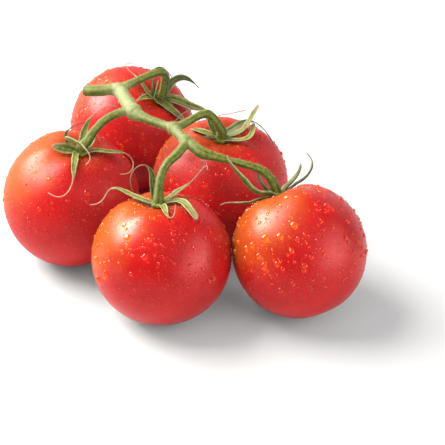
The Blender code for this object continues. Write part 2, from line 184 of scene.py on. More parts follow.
camera = show("camera", bpy.data.cameras.new("camera"))
camera.data.sensor_width = 36
camera.data.lens = 139.47
back = Vector((0, -math.cos(CAMERA_RISE), math.sin(CAMERA_RISE)))
camera.location = CAMERA_TARGET + back * CAMERA_DISTANCE
camera.rotation_euler = (math.pi / 2 - CAMERA_RISE, 0, 0)
bpy.context.scene.camera = camera
print("camera at", [round(x, 3) for x in camera.location])

# %% [markdown]
# ## Table
#
# The truss stands on a white sweep, so bright that only its shadow shows. A flat sheet does for
# it. A little light of its own, which only the camera sees, lifts it to white, and more of it far
# away hides where the studio light ends. Between the fruit one small pocket of the table is seen,
# deep in red light that the fruit throw back and forth, so it is painted red there.

# %% Table
TABLE_REACH = 6.0
TABLE_WHITE = (0.85, 0.85, 0.85, 1)
POCKET = (-0.019, 0.041, 0)
POCKET_RED = (0.55, 0.03, 0.04, 1)
POCKET_EDGE = (0.010, 0.024)
LIT_NEAR, LIT_FAR = 0.05, 1.15
FAR_FROM, FAR_TO = 0.25, 0.90

WHITE_SWEEP, tree, shader = new_material("white_sweep", 0.9, 0.1)
place = place_of(tree)
from_pocket = calc_vector(tree, "DISTANCE", place, POCKET)["Value"]
from_middle = calc_vector(tree, "LENGTH", place)["Value"]
table_colour = blend(tree, ramp(tree, from_pocket, *POCKET_EDGE), POCKET_RED, TABLE_WHITE)
tree.links.new(table_colour, shader.inputs["Base Color"])
tree.links.new(table_colour, shader.inputs["Emission Color"])
to_camera = add(tree, "ShaderNodeLightPath").outputs["Is Camera Ray"]
lift = ramp(tree, from_middle, FAR_FROM, FAR_TO, LIT_NEAR, LIT_FAR)
tree.links.new(calc(tree, "MULTIPLY", to_camera, lift), shader.inputs["Emission Strength"])

floor_mesh = bpy.data.meshes.new("floor")
corners = [(x * TABLE_REACH, y * TABLE_REACH, 0) for x, y in ((-1, -1), (1, -1), (1, 1), (-1, 1))]
floor_mesh.from_pydata(corners, [], [(0, 1, 2, 3)])
floor_mesh.materials.append(WHITE_SWEEP)
floor = show("floor", floor_mesh)
print("table", 2 * TABLE_REACH, "m wide")

# %% [markdown]
# ## Studio light
#
# In the studio one big window lights the fruit from the upper left, draws a broad white highlight
# on each, and throws the shadow to the lower right. Here that work is shared: a key that only
# lights, and a window that only shines, so that shadow and highlight are each set on their own.
# Two cards that only shine give the second, weaker reflection on the right. A fill and an overhead
# box keep the shadow soft and grey, and a panel behind draws the pale line along the outer edges.
# The plain "Standard" view keeps the reds as saturated as they are.

# %% Lights
LIGHTS_AIM = Vector((0, -0.01, 0.03))
Softbox = namedtuple("Softbox", "place size power colour work")
# Places and sizes in metres, power in watts.
SOFTBOXES = {
    "key": Softbox((-0.66, 0.17, 0.80), (0.80, 0.80), 17.5, (1.0, 0.98, 0.95), "lights"),
    "window": Softbox((-1.68, 0.84, 1.52), (1.50, 1.25), 218.0, (1.0, 0.96, 0.92), "shines"),
    "card": Softbox((0.90, -0.30, 0.40), (0.90, 0.75), 7.8, (1.0, 0.92, 0.88), "shines"),
    "low_card": Softbox((0.52, -0.40, 0.15), (0.55, 0.28), 2.4, (1.0, 0.90, 0.85), "shines"),
    "fill": Softbox((0.80, -0.60, 0.50), (0.90, 0.80), 3.6, (1, 1, 1), "lights"),
    "back_panel": Softbox((0.5, 1.4, 0.5), (2.4, 0.8), 5.0, (1, 1, 1), "both"),
    "overhead": Softbox((0.1, -0.5, 1.5), (1.8, 1.8), 7.5, (1, 1, 1), "lights"),
}
for name, softbox in SOFTBOXES.items():
    light = show(name, bpy.data.lights.new(name, "AREA"))
    light.data.shape = "RECTANGLE"
    light.data.size, light.data.size_y = softbox.size
    light.data.energy = softbox.power
    light.data.color = softbox.colour
    light.location = softbox.place
    light.rotation_euler = (LIGHTS_AIM - Vector(softbox.place)).to_track_quat("-Z", "Y").to_euler()
    light.visible_camera = False
    light.visible_glossy = softbox.work != "lights"
    light.visible_diffuse = softbox.work != "shines"

ROOM_LIGHT = 0.12
world = bpy.data.worlds.new("studio")
bpy.context.scene.world = world
world.use_nodes = True
sky = world.node_tree.nodes["Background"]
sky.inputs["Color"].default_value = (1, 1, 1, 1)
seen = add(world.node_tree, "ShaderNodeLightPath").outputs["Is Camera Ray"]
strength = ramp(world.node_tree, seen, 0.0, 1.0, ROOM_LIGHT, 1.0, smooth=False)
world.node_tree.links.new(strength, sky.inputs["Strength"])
bpy.context.scene.view_settings.view_transform = "Standard"
print("lights:", ", ".join(SOFTBOXES))

# %% [markdown]
# ## Growing a shape
#
# A Geometry Nodes tree runs as a modifier. Its inputs are set by each socket's identifier, before
# the object is first evaluated. What it makes is then copied into a plain mesh, so the finished
# piece holds no live modifier and sits at the origin with its place in its mesh. Three more
# helpers do what several trees need: a random number, a mark on every point, and the tree's end.


# %% Parts of a shape tree
def random_number(tree, low, high, seed):
    """A random number for each point."""
    inputs = {2: low, 3: high, "Seed": seed}
    return add(tree, "FunctionNodeRandomValue", inputs, data_type="FLOAT").outputs[1]


def random_vector(tree, low, high, seed):
    """A random vector for each point."""
    inputs = {0: low, 1: high, "Seed": seed}
    return add(tree, "FunctionNodeRandomValue", inputs, data_type="FLOAT_VECTOR").outputs[0]


def scatter(tree, mesh, density, seed, allowed=True):
    """Points strewn over the faces of a mesh where they are allowed, so many to a square metre."""
    inputs = {"Mesh": mesh, "Selection": allowed, "Seed": seed}
    strewn = add(tree, "GeometryNodeDistributePointsOnFaces", inputs)
    density_socket = next(each for each in strewn.inputs if each.name == "Density" and each.enabled)
    tree.links.new(density, density_socket)
    return strewn.outputs


def mark(tree, geometry, name, value):
    """Keeps a number at every point for the material to read."""
    inputs = {"Geometry": geometry, "Name": name, "Value": value}
    options = {"data_type": "FLOAT", "domain": "POINT"}
    return add(tree, "GeometryNodeStoreNamedAttribute", inputs, **options).outputs[0]


def realize(tree, geometry):
    """Turns copies into real geometry."""
    return add(tree, "GeometryNodeRealizeInstances", {"Geometry": geometry}).outputs[0]


def end_tree(tree, geometry, material, result):
    """Gives what was made its material and hands it out."""
    done = add(tree, "GeometryNodeSetMaterial", {"Geometry": geometry, "Material": material}).outputs[0]
    tree.links.new(done, result["Geometry"])
    print("tree", tree.name, "with", len(tree.nodes), "nodes")
    return tree


# %% Turn a tree into a mesh
def plain_mesh(worker):
    """The worker's mesh as its modifiers leave it. The worker itself is removed."""
    bpy.context.view_layer.update()
    graph = bpy.context.evaluated_depsgraph_get()
    mesh = bpy.data.meshes.new_from_object(worker.evaluated_get(graph), depsgraph=graph)
    bpy.data.objects.remove(worker)
    return mesh


def grow(name, tree, start=None, **values):
    """Runs a tree on a start mesh, or on nothing, and gives a plain object with the result."""
    worker = show(name + "_worker", start or bpy.data.meshes.new(name + "_start"))
    modifier = worker.modifiers.new("grow", "NODES")
    modifier.node_group = tree
    for item in tree.interface.items_tree:
        if item.item_type == "SOCKET" and item.in_out == "INPUT":
            key = item.name.replace(" ", "_").lower()
            if key in values:
                modifier[item.identifier] = values[key]
    mesh = plain_mesh(worker)
    mesh.name = name
    return show(name, mesh)


def hand_in(piece, node):
    """Hangs a finished piece on the root body and hides the solid node that it stands for."""
    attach(piece, "root")
    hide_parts(node)


# %% [markdown]
# ## Materials: shared effects
#
# Nothing that grew is one flat colour. One group drifts between two colours in soft patches and
# speckles, and another gives a fine uneven surface. Each material uses them with its own values.
# Groups only hand over colours and normals, and the shader itself stays in the material.

# %% Group: grown colour
tree, given, result = new_tree(
    "grown_colour",
    "ShaderNodeTree",
    [
        ("Colour", "Color", (0.5, 0.5, 0.5, 1)),
        ("Patch Colour", "Color", (0.5, 0.5, 0.5, 1)),
        ("Patch Scale", "Float", 100.0),
        ("Patch Share", "Float", 0.5),
        ("Patch Softness", "Float", 0.15),
        ("Speck Colour", "Color", (1, 1, 1, 1)),
        ("Speck Scale", "Float", 900.0),
        ("Speck Amount", "Float", 0.1),
    ],
    [("Colour", "Color"), ("Patches", "Float")],
)
where = place_of(tree)
threshold = calc(tree, "SUBTRACT", 1.0, given["Patch Share"])
low = calc(tree, "SUBTRACT", threshold, given["Patch Softness"])
high = calc(tree, "ADD", threshold, given["Patch Softness"])
patches = ramp(tree, cloud(tree, where, given["Patch Scale"], 3.0), low, high)
drift = blend(tree, patches, given["Colour"], given["Patch Colour"])
cells = add(tree, "ShaderNodeTexVoronoi", {"Vector": where, "Scale": given["Speck Scale"]})
dots = ramp(tree, cells.outputs["Distance"], 0.28, 0.12, smooth=False)
speck_share = calc(tree, "MULTIPLY", dots, given["Speck Amount"])
tree.links.new(blend(tree, speck_share, drift, given["Speck Colour"]), result["Colour"])
tree.links.new(patches, result["Patches"])
GROWN_COLOUR = tree
print("group", tree.name, "with", len(tree.nodes), "nodes")

# %% Group: grown relief
tree, given, result = new_tree(
    "grown_relief",
    "ShaderNodeTree",
    [
        ("Broad Scale", "Float", 60.0),
        ("Broad Height", "Float", 0.1),
        ("Fine Scale", "Float", 1500.0),
        ("Fine Height", "Float", 0.02),
        ("Strength", "Float", 1.0),
    ],
    [("Normal", "Vector")],
)
where = place_of(tree)
broad = calc(tree, "MULTIPLY", cloud(tree, where, given["Broad Scale"], 2.0), given["Broad Height"])
fine = calc(tree, "MULTIPLY", cloud(tree, where, given["Fine Scale"], 2.0), given["Fine Height"])
height = calc(tree, "ADD", broad, fine)
relief = add(tree, "ShaderNodeBump", {"Strength": given["Strength"], "Distance": MM, "Height": height})
tree.links.new(relief.outputs["Normal"], result["Normal"])
GROWN_RELIEF = tree
print("group", tree.name, "with", len(tree.nodes), "nodes")

# %% [markdown]
# ## The fruit
#
# A tomato is a slightly flattened globe with soft ribs round its shoulders and a dimple where the
# stalk joins. Its whole shape follows one rule, so a Geometry Nodes tree starts from a UV sphere
# and moves each point to where the rule puts it. The names and values are the solid model's own,
# so the fine skin lies on the plain one. The tree also marks how far each point is from the stem
# end and how far it faces the window side, where the skin's orange is partly its own colour and
# partly painted warm light.

# %% Fruit measures
DIMPLE_DEPTH = 4.6 * MM
DIMPLE_SPREAD = 8.5 * MM
BLOSSOM_DEPTH = 0.8 * MM
BLOSSOM_SPREAD = 5 * MM
FULLNESS = 0.93
SHOULDER_WIDENING = 0.02
RIB_POLAR = math.radians(42)
RIB_SPREAD = math.radians(30)
RIM_RADIUS = 15 * MM
RIM_SPREAD = 8 * MM
FOOT_DEPTH = 0.6 * MM

Tomato = namedtuple("Tomato", "width height place lean lean_to ribs rib_depth rib_turn oval oval_turn")

# Sizes and places in millimetres, angles in degrees. The lean tips the stem end towards lean_to.
TOMATOES = {
    "front": Tomato(63.3, 59.9, (-8.7, -55.6), 12, 101, 5, 0.020, 30, 0.011, 21),
    "left": Tomato(65.1, 63.1, (-53.2, -9.4), 12, -16, 6, 0.022, 10, 0.014, 73),
    "right": Tomato(62.4, 60.6, (54.3, -51.5), 40, 125, 5, 0.030, 20, 0.011, -85),
    "back": Tomato(63.4, 58.9, (-26.9, 56.0), 36, -25, 5, 0.020, 0, 0.000, 0),
    "middle": Tomato(65.7, 61.1, (17.8, 5.4), 5, -77, 6, 0.022, 25, 0.000, 60),
}
print("fruit:", ", ".join(f"{name} {tomato.width} mm" for name, tomato in TOMATOES.items()))

# %% Tree: tomato skin
tree, given, result = new_tree(
    "tomato_skin_shape",
    "GeometryNodeTree",
    [
        ("Segments", "Int", 120),
        ("Rings", "Int", 80),
        ("Width", "Float", 0.06),
        ("Height", "Float", 0.06),
        ("Ribs", "Float", 5.0),
        ("Rib Depth", "Float", 0.02),
        ("Rib Turn", "Float", 0.0),
        ("Oval", "Float", 0.0),
        ("Oval Turn", "Float", 0.0),
        ("Lean Axis", "Vector", (1, 0, 0)),
        ("Lean", "Float", 0.0),
        ("Place", "Vector", (0, 0, 0)),
        ("Pale Side", "Vector", (0, 0, 1)),
        ("Bloom", "Float", 0.0),
        ("Skin", "Material", None),
    ],
    [("Geometry", "Geometry")],
)
TABLE_TOP = (-1e3, -1e3, 0)
MERGE_DISTANCE = 0.001 * MM
sphere = add(
    tree, "GeometryNodeMeshUVSphere", {"Segments": given["Segments"], "Rings": given["Rings"], "Radius": 1.0}
).outputs["Mesh"]
x, y, z = add(tree, "ShaderNodeSeparateXYZ", {0: add(tree, "GeometryNodeInputPosition").outputs[0]}).outputs
polar = calc(tree, "ARCCOSINE", calc(tree, "MAXIMUM", calc(tree, "MINIMUM", z, 1.0), -1.0))
azimuth = calc(tree, "ARCTAN2", y, x)
radius = calc(tree, "MULTIPLY", given["Width"], 0.5)
rib_way = calc(tree, "SUBTRACT", azimuth, given["Rib Turn"])
ribs = calc(tree, "COSINE", calc(tree, "MULTIPLY", given["Ribs"], rib_way))
oval_way = calc(tree, "SUBTRACT", azimuth, given["Oval Turn"])
oval = calc(tree, "COSINE", calc(tree, "MULTIPLY", 2.0, oval_way))
rib_depth = calc(tree, "MULTIPLY", given["Rib Depth"], ribs)
out = calc(tree, "POWER", calc(tree, "MAXIMUM", calc(tree, "SINE", polar), 0.0), FULLNESS)
out = calc(tree, "MULTIPLY", out, calc(tree, "MULTIPLY_ADD", z, SHOULDER_WIDENING, 1.0))
out = calc(tree, "MULTIPLY", out, radius)
swell = calc(tree, "MULTIPLY_ADD", given["Oval"], oval, 1.0)
swell = calc(tree, "MULTIPLY_ADD", rib_depth, bell(tree, polar, RIB_POLAR, RIB_SPREAD), swell)
out = calc(tree, "MULTIPLY", out, swell)
up = calc(tree, "MULTIPLY", calc(tree, "MULTIPLY", given["Height"], 0.5), z)
dimple = calc(tree, "MULTIPLY", bell(tree, out, 0.0, DIMPLE_SPREAD), DIMPLE_DEPTH)
rim = calc(tree, "MULTIPLY", calc(tree, "MULTIPLY", rib_depth, radius), bell(tree, out, RIM_RADIUS, RIM_SPREAD))
blossom = calc(tree, "MULTIPLY", bell(tree, out, 0.0, BLOSSOM_SPREAD), BLOSSOM_DEPTH)
top_half = calc(tree, "GREATER_THAN", z, 0.0)
top_change = calc(tree, "MULTIPLY", calc(tree, "SUBTRACT", rim, dimple), top_half)
low_change = calc(tree, "MULTIPLY", blossom, calc(tree, "SUBTRACT", 1.0, top_half))
up = calc(tree, "ADD", up, calc(tree, "ADD", top_change, low_change))
right = calc(tree, "MULTIPLY", out, calc(tree, "COSINE", azimuth))
far = calc(tree, "MULTIPLY", out, calc(tree, "SINE", azimuth))
tipped = add(
    tree,
    "ShaderNodeVectorRotate",
    {"Vector": combine(tree, right, far, up), "Axis": given["Lean Axis"], "Angle": given["Lean"]},
).outputs[0]
rested = calc_vector(tree, "MAXIMUM", calc_vector(tree, "ADD", tipped, given["Place"])[0], TABLE_TOP)[0]
outward = calc_vector(tree, "NORMALIZE", tipped)[0]
pale_side = calc_vector(tree, "DOT_PRODUCT", outward, given["Pale Side"])["Value"]
marked = mark(tree, sphere, "from_stem", calc(tree, "DIVIDE", polar, math.pi))
marked = mark(tree, marked, "pale_side", pale_side)
marked = mark(tree, marked, "bloom", given["Bloom"])
shaped = add(tree, "GeometryNodeSetPosition", {"Geometry": marked, "Position": rested}).outputs[0]
joined = add(tree, "GeometryNodeMergeByDistance", {"Geometry": shaped, "Distance": MERGE_DISTANCE}).outputs[0]
smooth = add(tree, "GeometryNodeSetShadeSmooth", {"Geometry": joined}).outputs[0]
SKIN_SHAPE = end_tree(tree, realize(tree, smooth), given["Skin"], result)

# %% [markdown]
# ## Tomato skin
#
# Ripe skin is a clear, waxy red. Round the stem end it stays orange, in uneven streaks, mostly on
# the side towards the window. On that side it is orange further down too, partly the fruit's own
# colour and partly painted warm light, and in the dimple round the stalk it is darkened to brown,
# which is painted shade. The wax is glossy but never flawless, so roughness and relief vary a
# little, and some fruit keep a dull bloom. To light that bounces off it, the skin shows a neutral
# grey, because the real table takes no red from the fruit.

# %% Skin material
RIPE_RED, DEEP_RED = (0.69, 0.0090, 0.0100, 1), (0.54, 0.0070, 0.0085, 1)
UNRIPE_AND_LIT_ORANGE = (0.66, 0.140, 0.006, 1)
DIMPLE_SHADE_BROWN = (0.43, 0.036, 0.004, 1)
BOUNCE_GREY = (0.56, 0.50, 0.50, 1)

SKIN, tree, shader = new_material("tomato_skin", 0.37, 0.26)
ripe = group(
    tree,
    GROWN_COLOUR,
    colour=RIPE_RED,
    patch_colour=DEEP_RED,
    patch_scale=45.0,
    patch_share=0.45,
    patch_softness=0.2,
    speck_colour=(0.85, 0.16, 0.06, 1),
    speck_scale=650.0,
    speck_amount=0.25,
)
from_stem = read_mark(tree, "from_stem")
pale_side = read_mark(tree, "pale_side")
where = place_of(tree)
uneven = calc(tree, "MULTIPLY", calc(tree, "SUBTRACT", cloud(tree, where, 85.0, 4.0), 0.5), 0.5)
# Orange on the side that faces the window: partly the fruit's own colour, partly painted warm light.
unripe_and_lit_side = ramp(tree, calc(tree, "ADD", pale_side, uneven), 0.36, 0.92, 0.0, 0.82)
streaked = calc(tree, "ADD", from_stem, calc(tree, "MULTIPLY", uneven, 0.6))
unripe_top = ramp(tree, streaked, 0.20, 0.03, 0.0, 0.7)
towards_orange_lit = add(
    tree, "ShaderNodeClamp", {"Value": calc(tree, "MULTIPLY_ADD", pale_side, 1.4, 0.05)}
).outputs[0]
unripe_and_lit = calc(tree, "MAXIMUM", unripe_and_lit_side, calc(tree, "MULTIPLY", unripe_top, towards_orange_lit))
skin_colour = blend(tree, unripe_and_lit, ripe["Colour"], UNRIPE_AND_LIT_ORANGE)
# Painted shade: the skin is darkened to brown in the dimple round the stalk.
shade_near_stalk = calc(tree, "ADD", from_stem, calc(tree, "MULTIPLY", uneven, 0.25))
skin_colour = blend(tree, ramp(tree, shade_near_stalk, 0.17, 0.04, 0.0, 0.50), skin_colour, DIMPLE_SHADE_BROWN)
bounced = add(tree, "ShaderNodeLightPath").outputs["Is Diffuse Ray"]
tree.links.new(blend(tree, bounced, skin_colour, BOUNCE_GREY), shader.inputs["Base Color"])
wax = ramp(tree, cloud(tree, where, 260.0, 4.0), 0.0, 1.0, 0.26, 0.37, smooth=False)
dulled = calc(tree, "MULTIPLY_ADD", read_mark(tree, "bloom"), 0.13, wax)
tree.links.new(dulled, shader.inputs["Roughness"])
skin_relief = group(
    tree, GROWN_RELIEF, broad_scale=55.0, broad_height=0.22, fine_scale=1100.0, fine_height=0.10, strength=0.6
)
tree.links.new(skin_relief["Normal"], shader.inputs["Normal"])
print("material", SKIN.name)


# %% [markdown]
# ## Placing the fruit
#
# Each fruit is set down so that its underside is flattened by a hair's breadth, as the weight of a
# tomato does. The rule is worked out once more in plain Python here, because the calyxes need to
# know where the bottom of each dimple is and which way each fruit leans.


# %% Where a fruit rests
def fruit_point(tomato, polar, azimuth):
    """A point of the skin in the fruit's own frame, with its stem end towards +Z."""
    radius = tomato.width / 2 * MM
    ribs = math.cos(tomato.ribs * (azimuth - math.radians(tomato.rib_turn)))
    oval = math.cos(2 * (azimuth - math.radians(tomato.oval_turn)))
    rib_bell = math.exp(-(((polar - RIB_POLAR) / RIB_SPREAD) ** 2))
    out = radius * max(0, math.sin(polar)) ** FULLNESS * (1 + SHOULDER_WIDENING * math.cos(polar))
    out = out * (1 + tomato.oval * oval + tomato.rib_depth * ribs * rib_bell)
    up = tomato.height / 2 * MM * math.cos(polar)
    if math.cos(polar) > 0:
        up -= DIMPLE_DEPTH * math.exp(-((out / DIMPLE_SPREAD) ** 2))
        up += tomato.rib_depth * radius * ribs * math.exp(-(((out - RIM_RADIUS) / RIM_SPREAD) ** 2))
    else:
        up += BLOSSOM_DEPTH * math.exp(-((out / BLOSSOM_SPREAD) ** 2))
    return Vector((out * math.cos(azimuth), out * math.sin(azimuth), up))


def lean_axis(tomato):
    way = math.radians(tomato.lean_to)
    return Vector((-math.sin(way), math.cos(way), 0))


# %% Place the fruit
SKIN_SEGMENTS, SKIN_RINGS = 180, 120
SOLID_SIDES, SOLID_RINGS = 30, 20
RIB_SOFTENING = 0.6
# How much bloom dulls each fruit's wax.
BLOOM = {"front": 0.1, "left": 1.0, "right": 0.3, "back": 0.7, "middle": 0.8}
# The way each fruit's orange side faces, which is towards the window on every fruit: the orange
# there is partly the fruit's own and partly painted warm light. The length says how far its orange
# reaches.
ORANGE_LIT_SIDES = {
    "front": (-0.76, 0.26, 0.60),
    "left": (-0.80, 0.27, 0.63),
    "right": (-0.63, 0.08, 0.60),
    "back": (-0.49, 0.17, 0.38),
    "middle": (-0.52, 0.18, 0.41),
}
stem_ends = {}
fruit_pieces = {}
for name, tomato in TOMATOES.items():
    turn = Matrix.Rotation(math.radians(tomato.lean), 3, lean_axis(tomato))
    lowest = min(
        (turn @ fruit_point(tomato, math.pi * ring / SOLID_RINGS, 2 * math.pi * side / SOLID_SIDES)).z
        for ring in range(SOLID_RINGS // 2, SOLID_RINGS + 1)
        for side in range(SOLID_SIDES)
    )
    place = Vector((tomato.place[0] * MM, tomato.place[1] * MM, -(lowest + FOOT_DEPTH)))
    stem_ends[name] = (place + turn @ fruit_point(tomato, 1e-4, 0), turn @ Vector((0, 0, 1)))
    piece = grow(
        "skin_" + name,
        SKIN_SHAPE,
        segments=SKIN_SEGMENTS,
        rings=SKIN_RINGS,
        width=tomato.width * MM,
        height=tomato.height * MM,
        ribs=float(tomato.ribs),
        rib_depth=tomato.rib_depth * RIB_SOFTENING,
        rib_turn=math.radians(tomato.rib_turn),
        oval=tomato.oval,
        oval_turn=math.radians(tomato.oval_turn),
        lean_axis=lean_axis(tomato),
        lean=math.radians(tomato.lean),
        place=place,
        pale_side=Vector(ORANGE_LIT_SIDES[name]),
        bloom=BLOOM[name],
        skin=SKIN,
    )
    hand_in(piece, "tomato_" + name)
    fruit_pieces[name] = piece
    high = max(vertex.co.z for vertex in piece.data.vertices) / MM
    solid_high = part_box("tomato_" + name)[1].z / MM
    print(name, len(piece.data.polygons), "faces, top", round(high, 2), "mm, solid", round(solid_high, 2))

# %% [markdown]
# ## The vine
#
# The picked stem is one living piece: a main stem with a cut end, swollen knots where it parts, and
# a stalk that bends down to each fruit. Each route below is a list of points with the thickness
# there. A smooth curve runs through them, a Geometry Nodes tree sweeps a round profile along every
# curve and sets a ball at every knot, and a voxel remesh melts them together, so that the forks
# swell and flow as they do on the plant.

# %% Vine routes
# Each point is x, y, z and diameter in millimetres.
MAIN_STEM = ((-47.5, 25.5, 70, 5.0), (-44, 24.5, 70.5, 5.4), (-38, 24, 71, 5.4), (-31, 24.5, 71, 6.2),
             (-27, 14.5, 71.5, 6.6), (-22.5, 2.5, 72, 6.4), (-17, -3, 72, 4.6), (-7.5, -9.5, 72, 4.2),
             (-3.5, -12.5, 72.5, 5.0), (-1, -18.5, 73, 4.8), (3, -25.5, 73, 5.0))
STALKS = {
    "front": ((3, -25.5, 73, 4.6), (-2, -36.5, 73, 4.0), (-5.5, -41, 72, 3.8), (-7.5, -43.5, 69.5, 3.8),
              (-9, -46.5, 66, 3.9), (-9.5, -48.5, 61.5, 4.2)),
    "left": ((-22.5, 2.5, 72, 5.2), (-27, 3, 72, 4.2), (-32, 0.5, 71.5, 3.8), (-37, -3, 70, 3.8),
             (-41, -7.5, 67.5, 4.0), (-44, -10.5, 64.3, 4.4)),
    "right": ((3, -25.5, 73, 5.0), (6, -28.5, 72.5, 5.2), (9.5, -31, 71, 5.4), (13, -31.5, 70, 4.6),
              (22, -33, 68, 3.4), (28, -34, 67, 3.4), (33, -34.5, 65.5, 3.6), (37.5, -35, 63.5, 3.8),
              (40.5, -35.5, 60.5, 4.0), (42.5, -36, 57, 4.4)),
    "back": ((-31, 24.5, 71, 5.4), (-25, 29, 72, 4.0), (-20, 32, 73, 3.8), (-15.5, 35, 73.5, 3.8),
             (-11.5, 38, 73, 4.0), (-9, 41, 69.5, 4.0), (-9.5, 44, 63, 4.0), (-10.5, 46, 57, 4.4)),
    "middle": ((-3.5, -12.5, 72.5, 4.8), (-0.5, -8.5, 71.5, 4.2), (3, -5, 71.5, 3.8), (6.5, -2, 72, 3.8),
               (10.5, 1, 72, 4.0), (13, 1.5, 71, 4.2), (15, 1, 69, 4.2), (17, 1, 65.5, 4.4),
               (18.5, 1.5, 62, 4.8)),
}
KNOTS = ((-31, 24.5, 71, 7.4), (-22.5, 2.5, 72, 7.8), (-3.5, -12.5, 72.3, 6.4), (2.5, -25, 73, 6.6))
STALK_FLARE = 5.0
STALK_FOOT = (3.9, 2.0)
STEM_STEP = 0.8 * MM


# %% A smooth route through points
def smooth_route(points, step):
    """A smooth curve through the points, read off at about every step along it."""
    points = np.array(points, float)
    ends = np.vstack([2 * points[0] - points[1], points, 2 * points[-1] - points[-2]])
    lengths = np.linalg.norm(np.diff(points[:, :3], axis=0), axis=1)
    fine = []
    for i, length in enumerate(lengths):
        a, b, c, d = ends[i : i + 4]
        t = np.linspace(0, 1, max(2, math.ceil(6 * length / step)), endpoint=False)[:, None]
        fine.append(b + 0.5 * t * (c - a + t * (2 * a - 5 * b + 4 * c - d + t * (3 * (b - c) + d - a))))
    fine = np.vstack([*fine, points[-1:]])
    along = np.concatenate([[0], np.cumsum(np.linalg.norm(np.diff(fine[:, :3], axis=0), axis=1))])
    wanted = np.linspace(0, along[-1], max(3, round(along[-1] / step) + 1))
    return np.stack([np.interp(wanted, along, column) for column in fine.T], axis=-1)


def frames_along(route, first_normal):
    """The tangent, side and normal at each point, turning as little as they can."""
    frames = []
    normal = first_normal
    for i in range(len(route)):
        tangent = (route[min(i + 1, len(route) - 1)] - route[max(i - 1, 0)]).normalized()
        normal = (normal - tangent * normal.dot(tangent)).normalized()
        frames.append((tangent, tangent.cross(normal), normal))
    return frames


stem_routes = [smooth_route(np.array(MAIN_STEM) * MM, STEM_STEP)]
for name, points in STALKS.items():
    base, axis = stem_ends[name]
    foot = [(*((base + axis * lift * MM) / MM), STALK_FLARE) for lift in STALK_FOOT]
    stem_routes.append(smooth_route(np.array([*points, *foot]) * MM, STEM_STEP))
print("stems:", len(stem_routes), "knots:", len(KNOTS), "route points:", [len(route) for route in stem_routes])

# %% Tree: stems along their routes
tree, given, result = new_tree(
    "stems_and_knots",
    "GeometryNodeTree",
    [("Geometry", "Geometry", None), ("Sides", "Int", 16), ("Knot Fineness", "Int", 4), ("Skin", "Material", None)],
    [("Geometry", "Geometry")],
)
thickness, knot_size = (
    add(tree, "GeometryNodeInputNamedAttribute", {"Name": name}, data_type="FLOAT").outputs[0]
    for name in ("thickness", "knot_size")
)
centre_lines = add(tree, "GeometryNodeMeshToCurve", {"Mesh": given["Geometry"]}).outputs[0]
profile = add(tree, "GeometryNodeCurvePrimitiveCircle", {"Resolution": given["Sides"], "Radius": 1.0}).outputs[0]
swept = add(
    tree,
    "GeometryNodeCurveToMesh",
    {"Curve": centre_lines, "Profile Curve": profile, "Scale": thickness, "Fill Caps": True},
).outputs[0]
ball = add(tree, "GeometryNodeMeshIcoSphere", {"Radius": 1.0, "Subdivisions": given["Knot Fineness"]}).outputs["Mesh"]
is_knot = above(tree, knot_size, 0.0)
balls = add(
    tree,
    "GeometryNodeInstanceOnPoints",
    {"Points": given["Geometry"], "Selection": is_knot, "Instance": ball, "Scale": knot_size},
).outputs[0]
together = add(tree, "GeometryNodeJoinGeometry", {0: swept})
tree.links.new(balls, together.inputs[0])
STEM_SHAPE = end_tree(tree, realize(tree, together.outputs[0]), given["Skin"], result)

# %% [markdown]
# ## Green stem and sepal colours
#
# The stem is a soft, dull green in light and dark patches, paler on the thick stretch between the
# first two forks and near the knots, and brown where it was cut. On top of that it has painted
# light and shade: lighter on the side that faces the window, darker in its grooves and on the side
# away from it. A sepal is green in the middle, cream along its edges and veins, darker underneath
# where shade is painted, and its thin end has dried to straw. Each sepal has a tint of its own.

# %% Stem material
GROOVE_SHADE_GREEN, PALE_AND_LIT_GREEN = (0.045, 0.075, 0.008, 1), (0.44, 0.48, 0.22, 1)
CUT_BROWN = (0.20, 0.15, 0.06, 1)

STEM, tree, shader = new_material("vine_green", 0.6, 0.2)
green = group(
    tree,
    GROWN_COLOUR,
    colour=(0.135, 0.165, 0.013, 1),
    patch_colour=(0.285, 0.315, 0.045, 1),
    patch_scale=640.0,
    patch_share=0.5,
    patch_softness=0.20,
    speck_colour=(0.56, 0.57, 0.20, 1),
    speck_scale=1000.0,
    speck_amount=0.65,
)
# Painted shade in the grooves and on the side away from the window.
groove_shade_share = calc(tree, "MULTIPLY", read_mark(tree, "groove"), 0.55)
# Paler on the thick stretch and near the knots, the stem's own colour, plus painted light on the side that faces the
# window.
pale_and_lit_share = calc(tree, "MULTIPLY", read_mark(tree, "pale"), 0.85)
groove_shaded = blend(tree, groove_shade_share, green["Colour"], GROOVE_SHADE_GREEN)
paler_and_lit = blend(tree, pale_and_lit_share, groove_shaded, PALE_AND_LIT_GREEN)
browned = blend(tree, read_mark(tree, "cut"), paler_and_lit, CUT_BROWN)
tree.links.new(browned, shader.inputs["Base Color"])
stem_relief = group(
    tree, GROWN_RELIEF, broad_scale=480.0, broad_height=0.32, fine_scale=1800.0, fine_height=0.14, strength=0.8
)
tree.links.new(stem_relief["Normal"], shader.inputs["Normal"])
shader.inputs["Sheen Weight"].default_value = 0.1
shader.inputs["Sheen Roughness"].default_value = 0.4
shader.inputs["Sheen Tint"].default_value = (0.95, 0.95, 0.6, 1)
print("material", STEM.name)

# %% Sepal material
CREAM_GREEN, DARK_OLIVE = (0.46, 0.46, 0.09, 1), (0.040, 0.052, 0.014, 1)
VEIN_CREAM, UNDERSIDE_SHADE = (0.82, 0.80, 0.44, 1), (0.065, 0.072, 0.014, 1)
DARK_STRAW, PALE_STRAW = (0.085, 0.055, 0.030, 1), (0.64, 0.37, 0.24, 1)
VEINS_ACROSS = 9.0

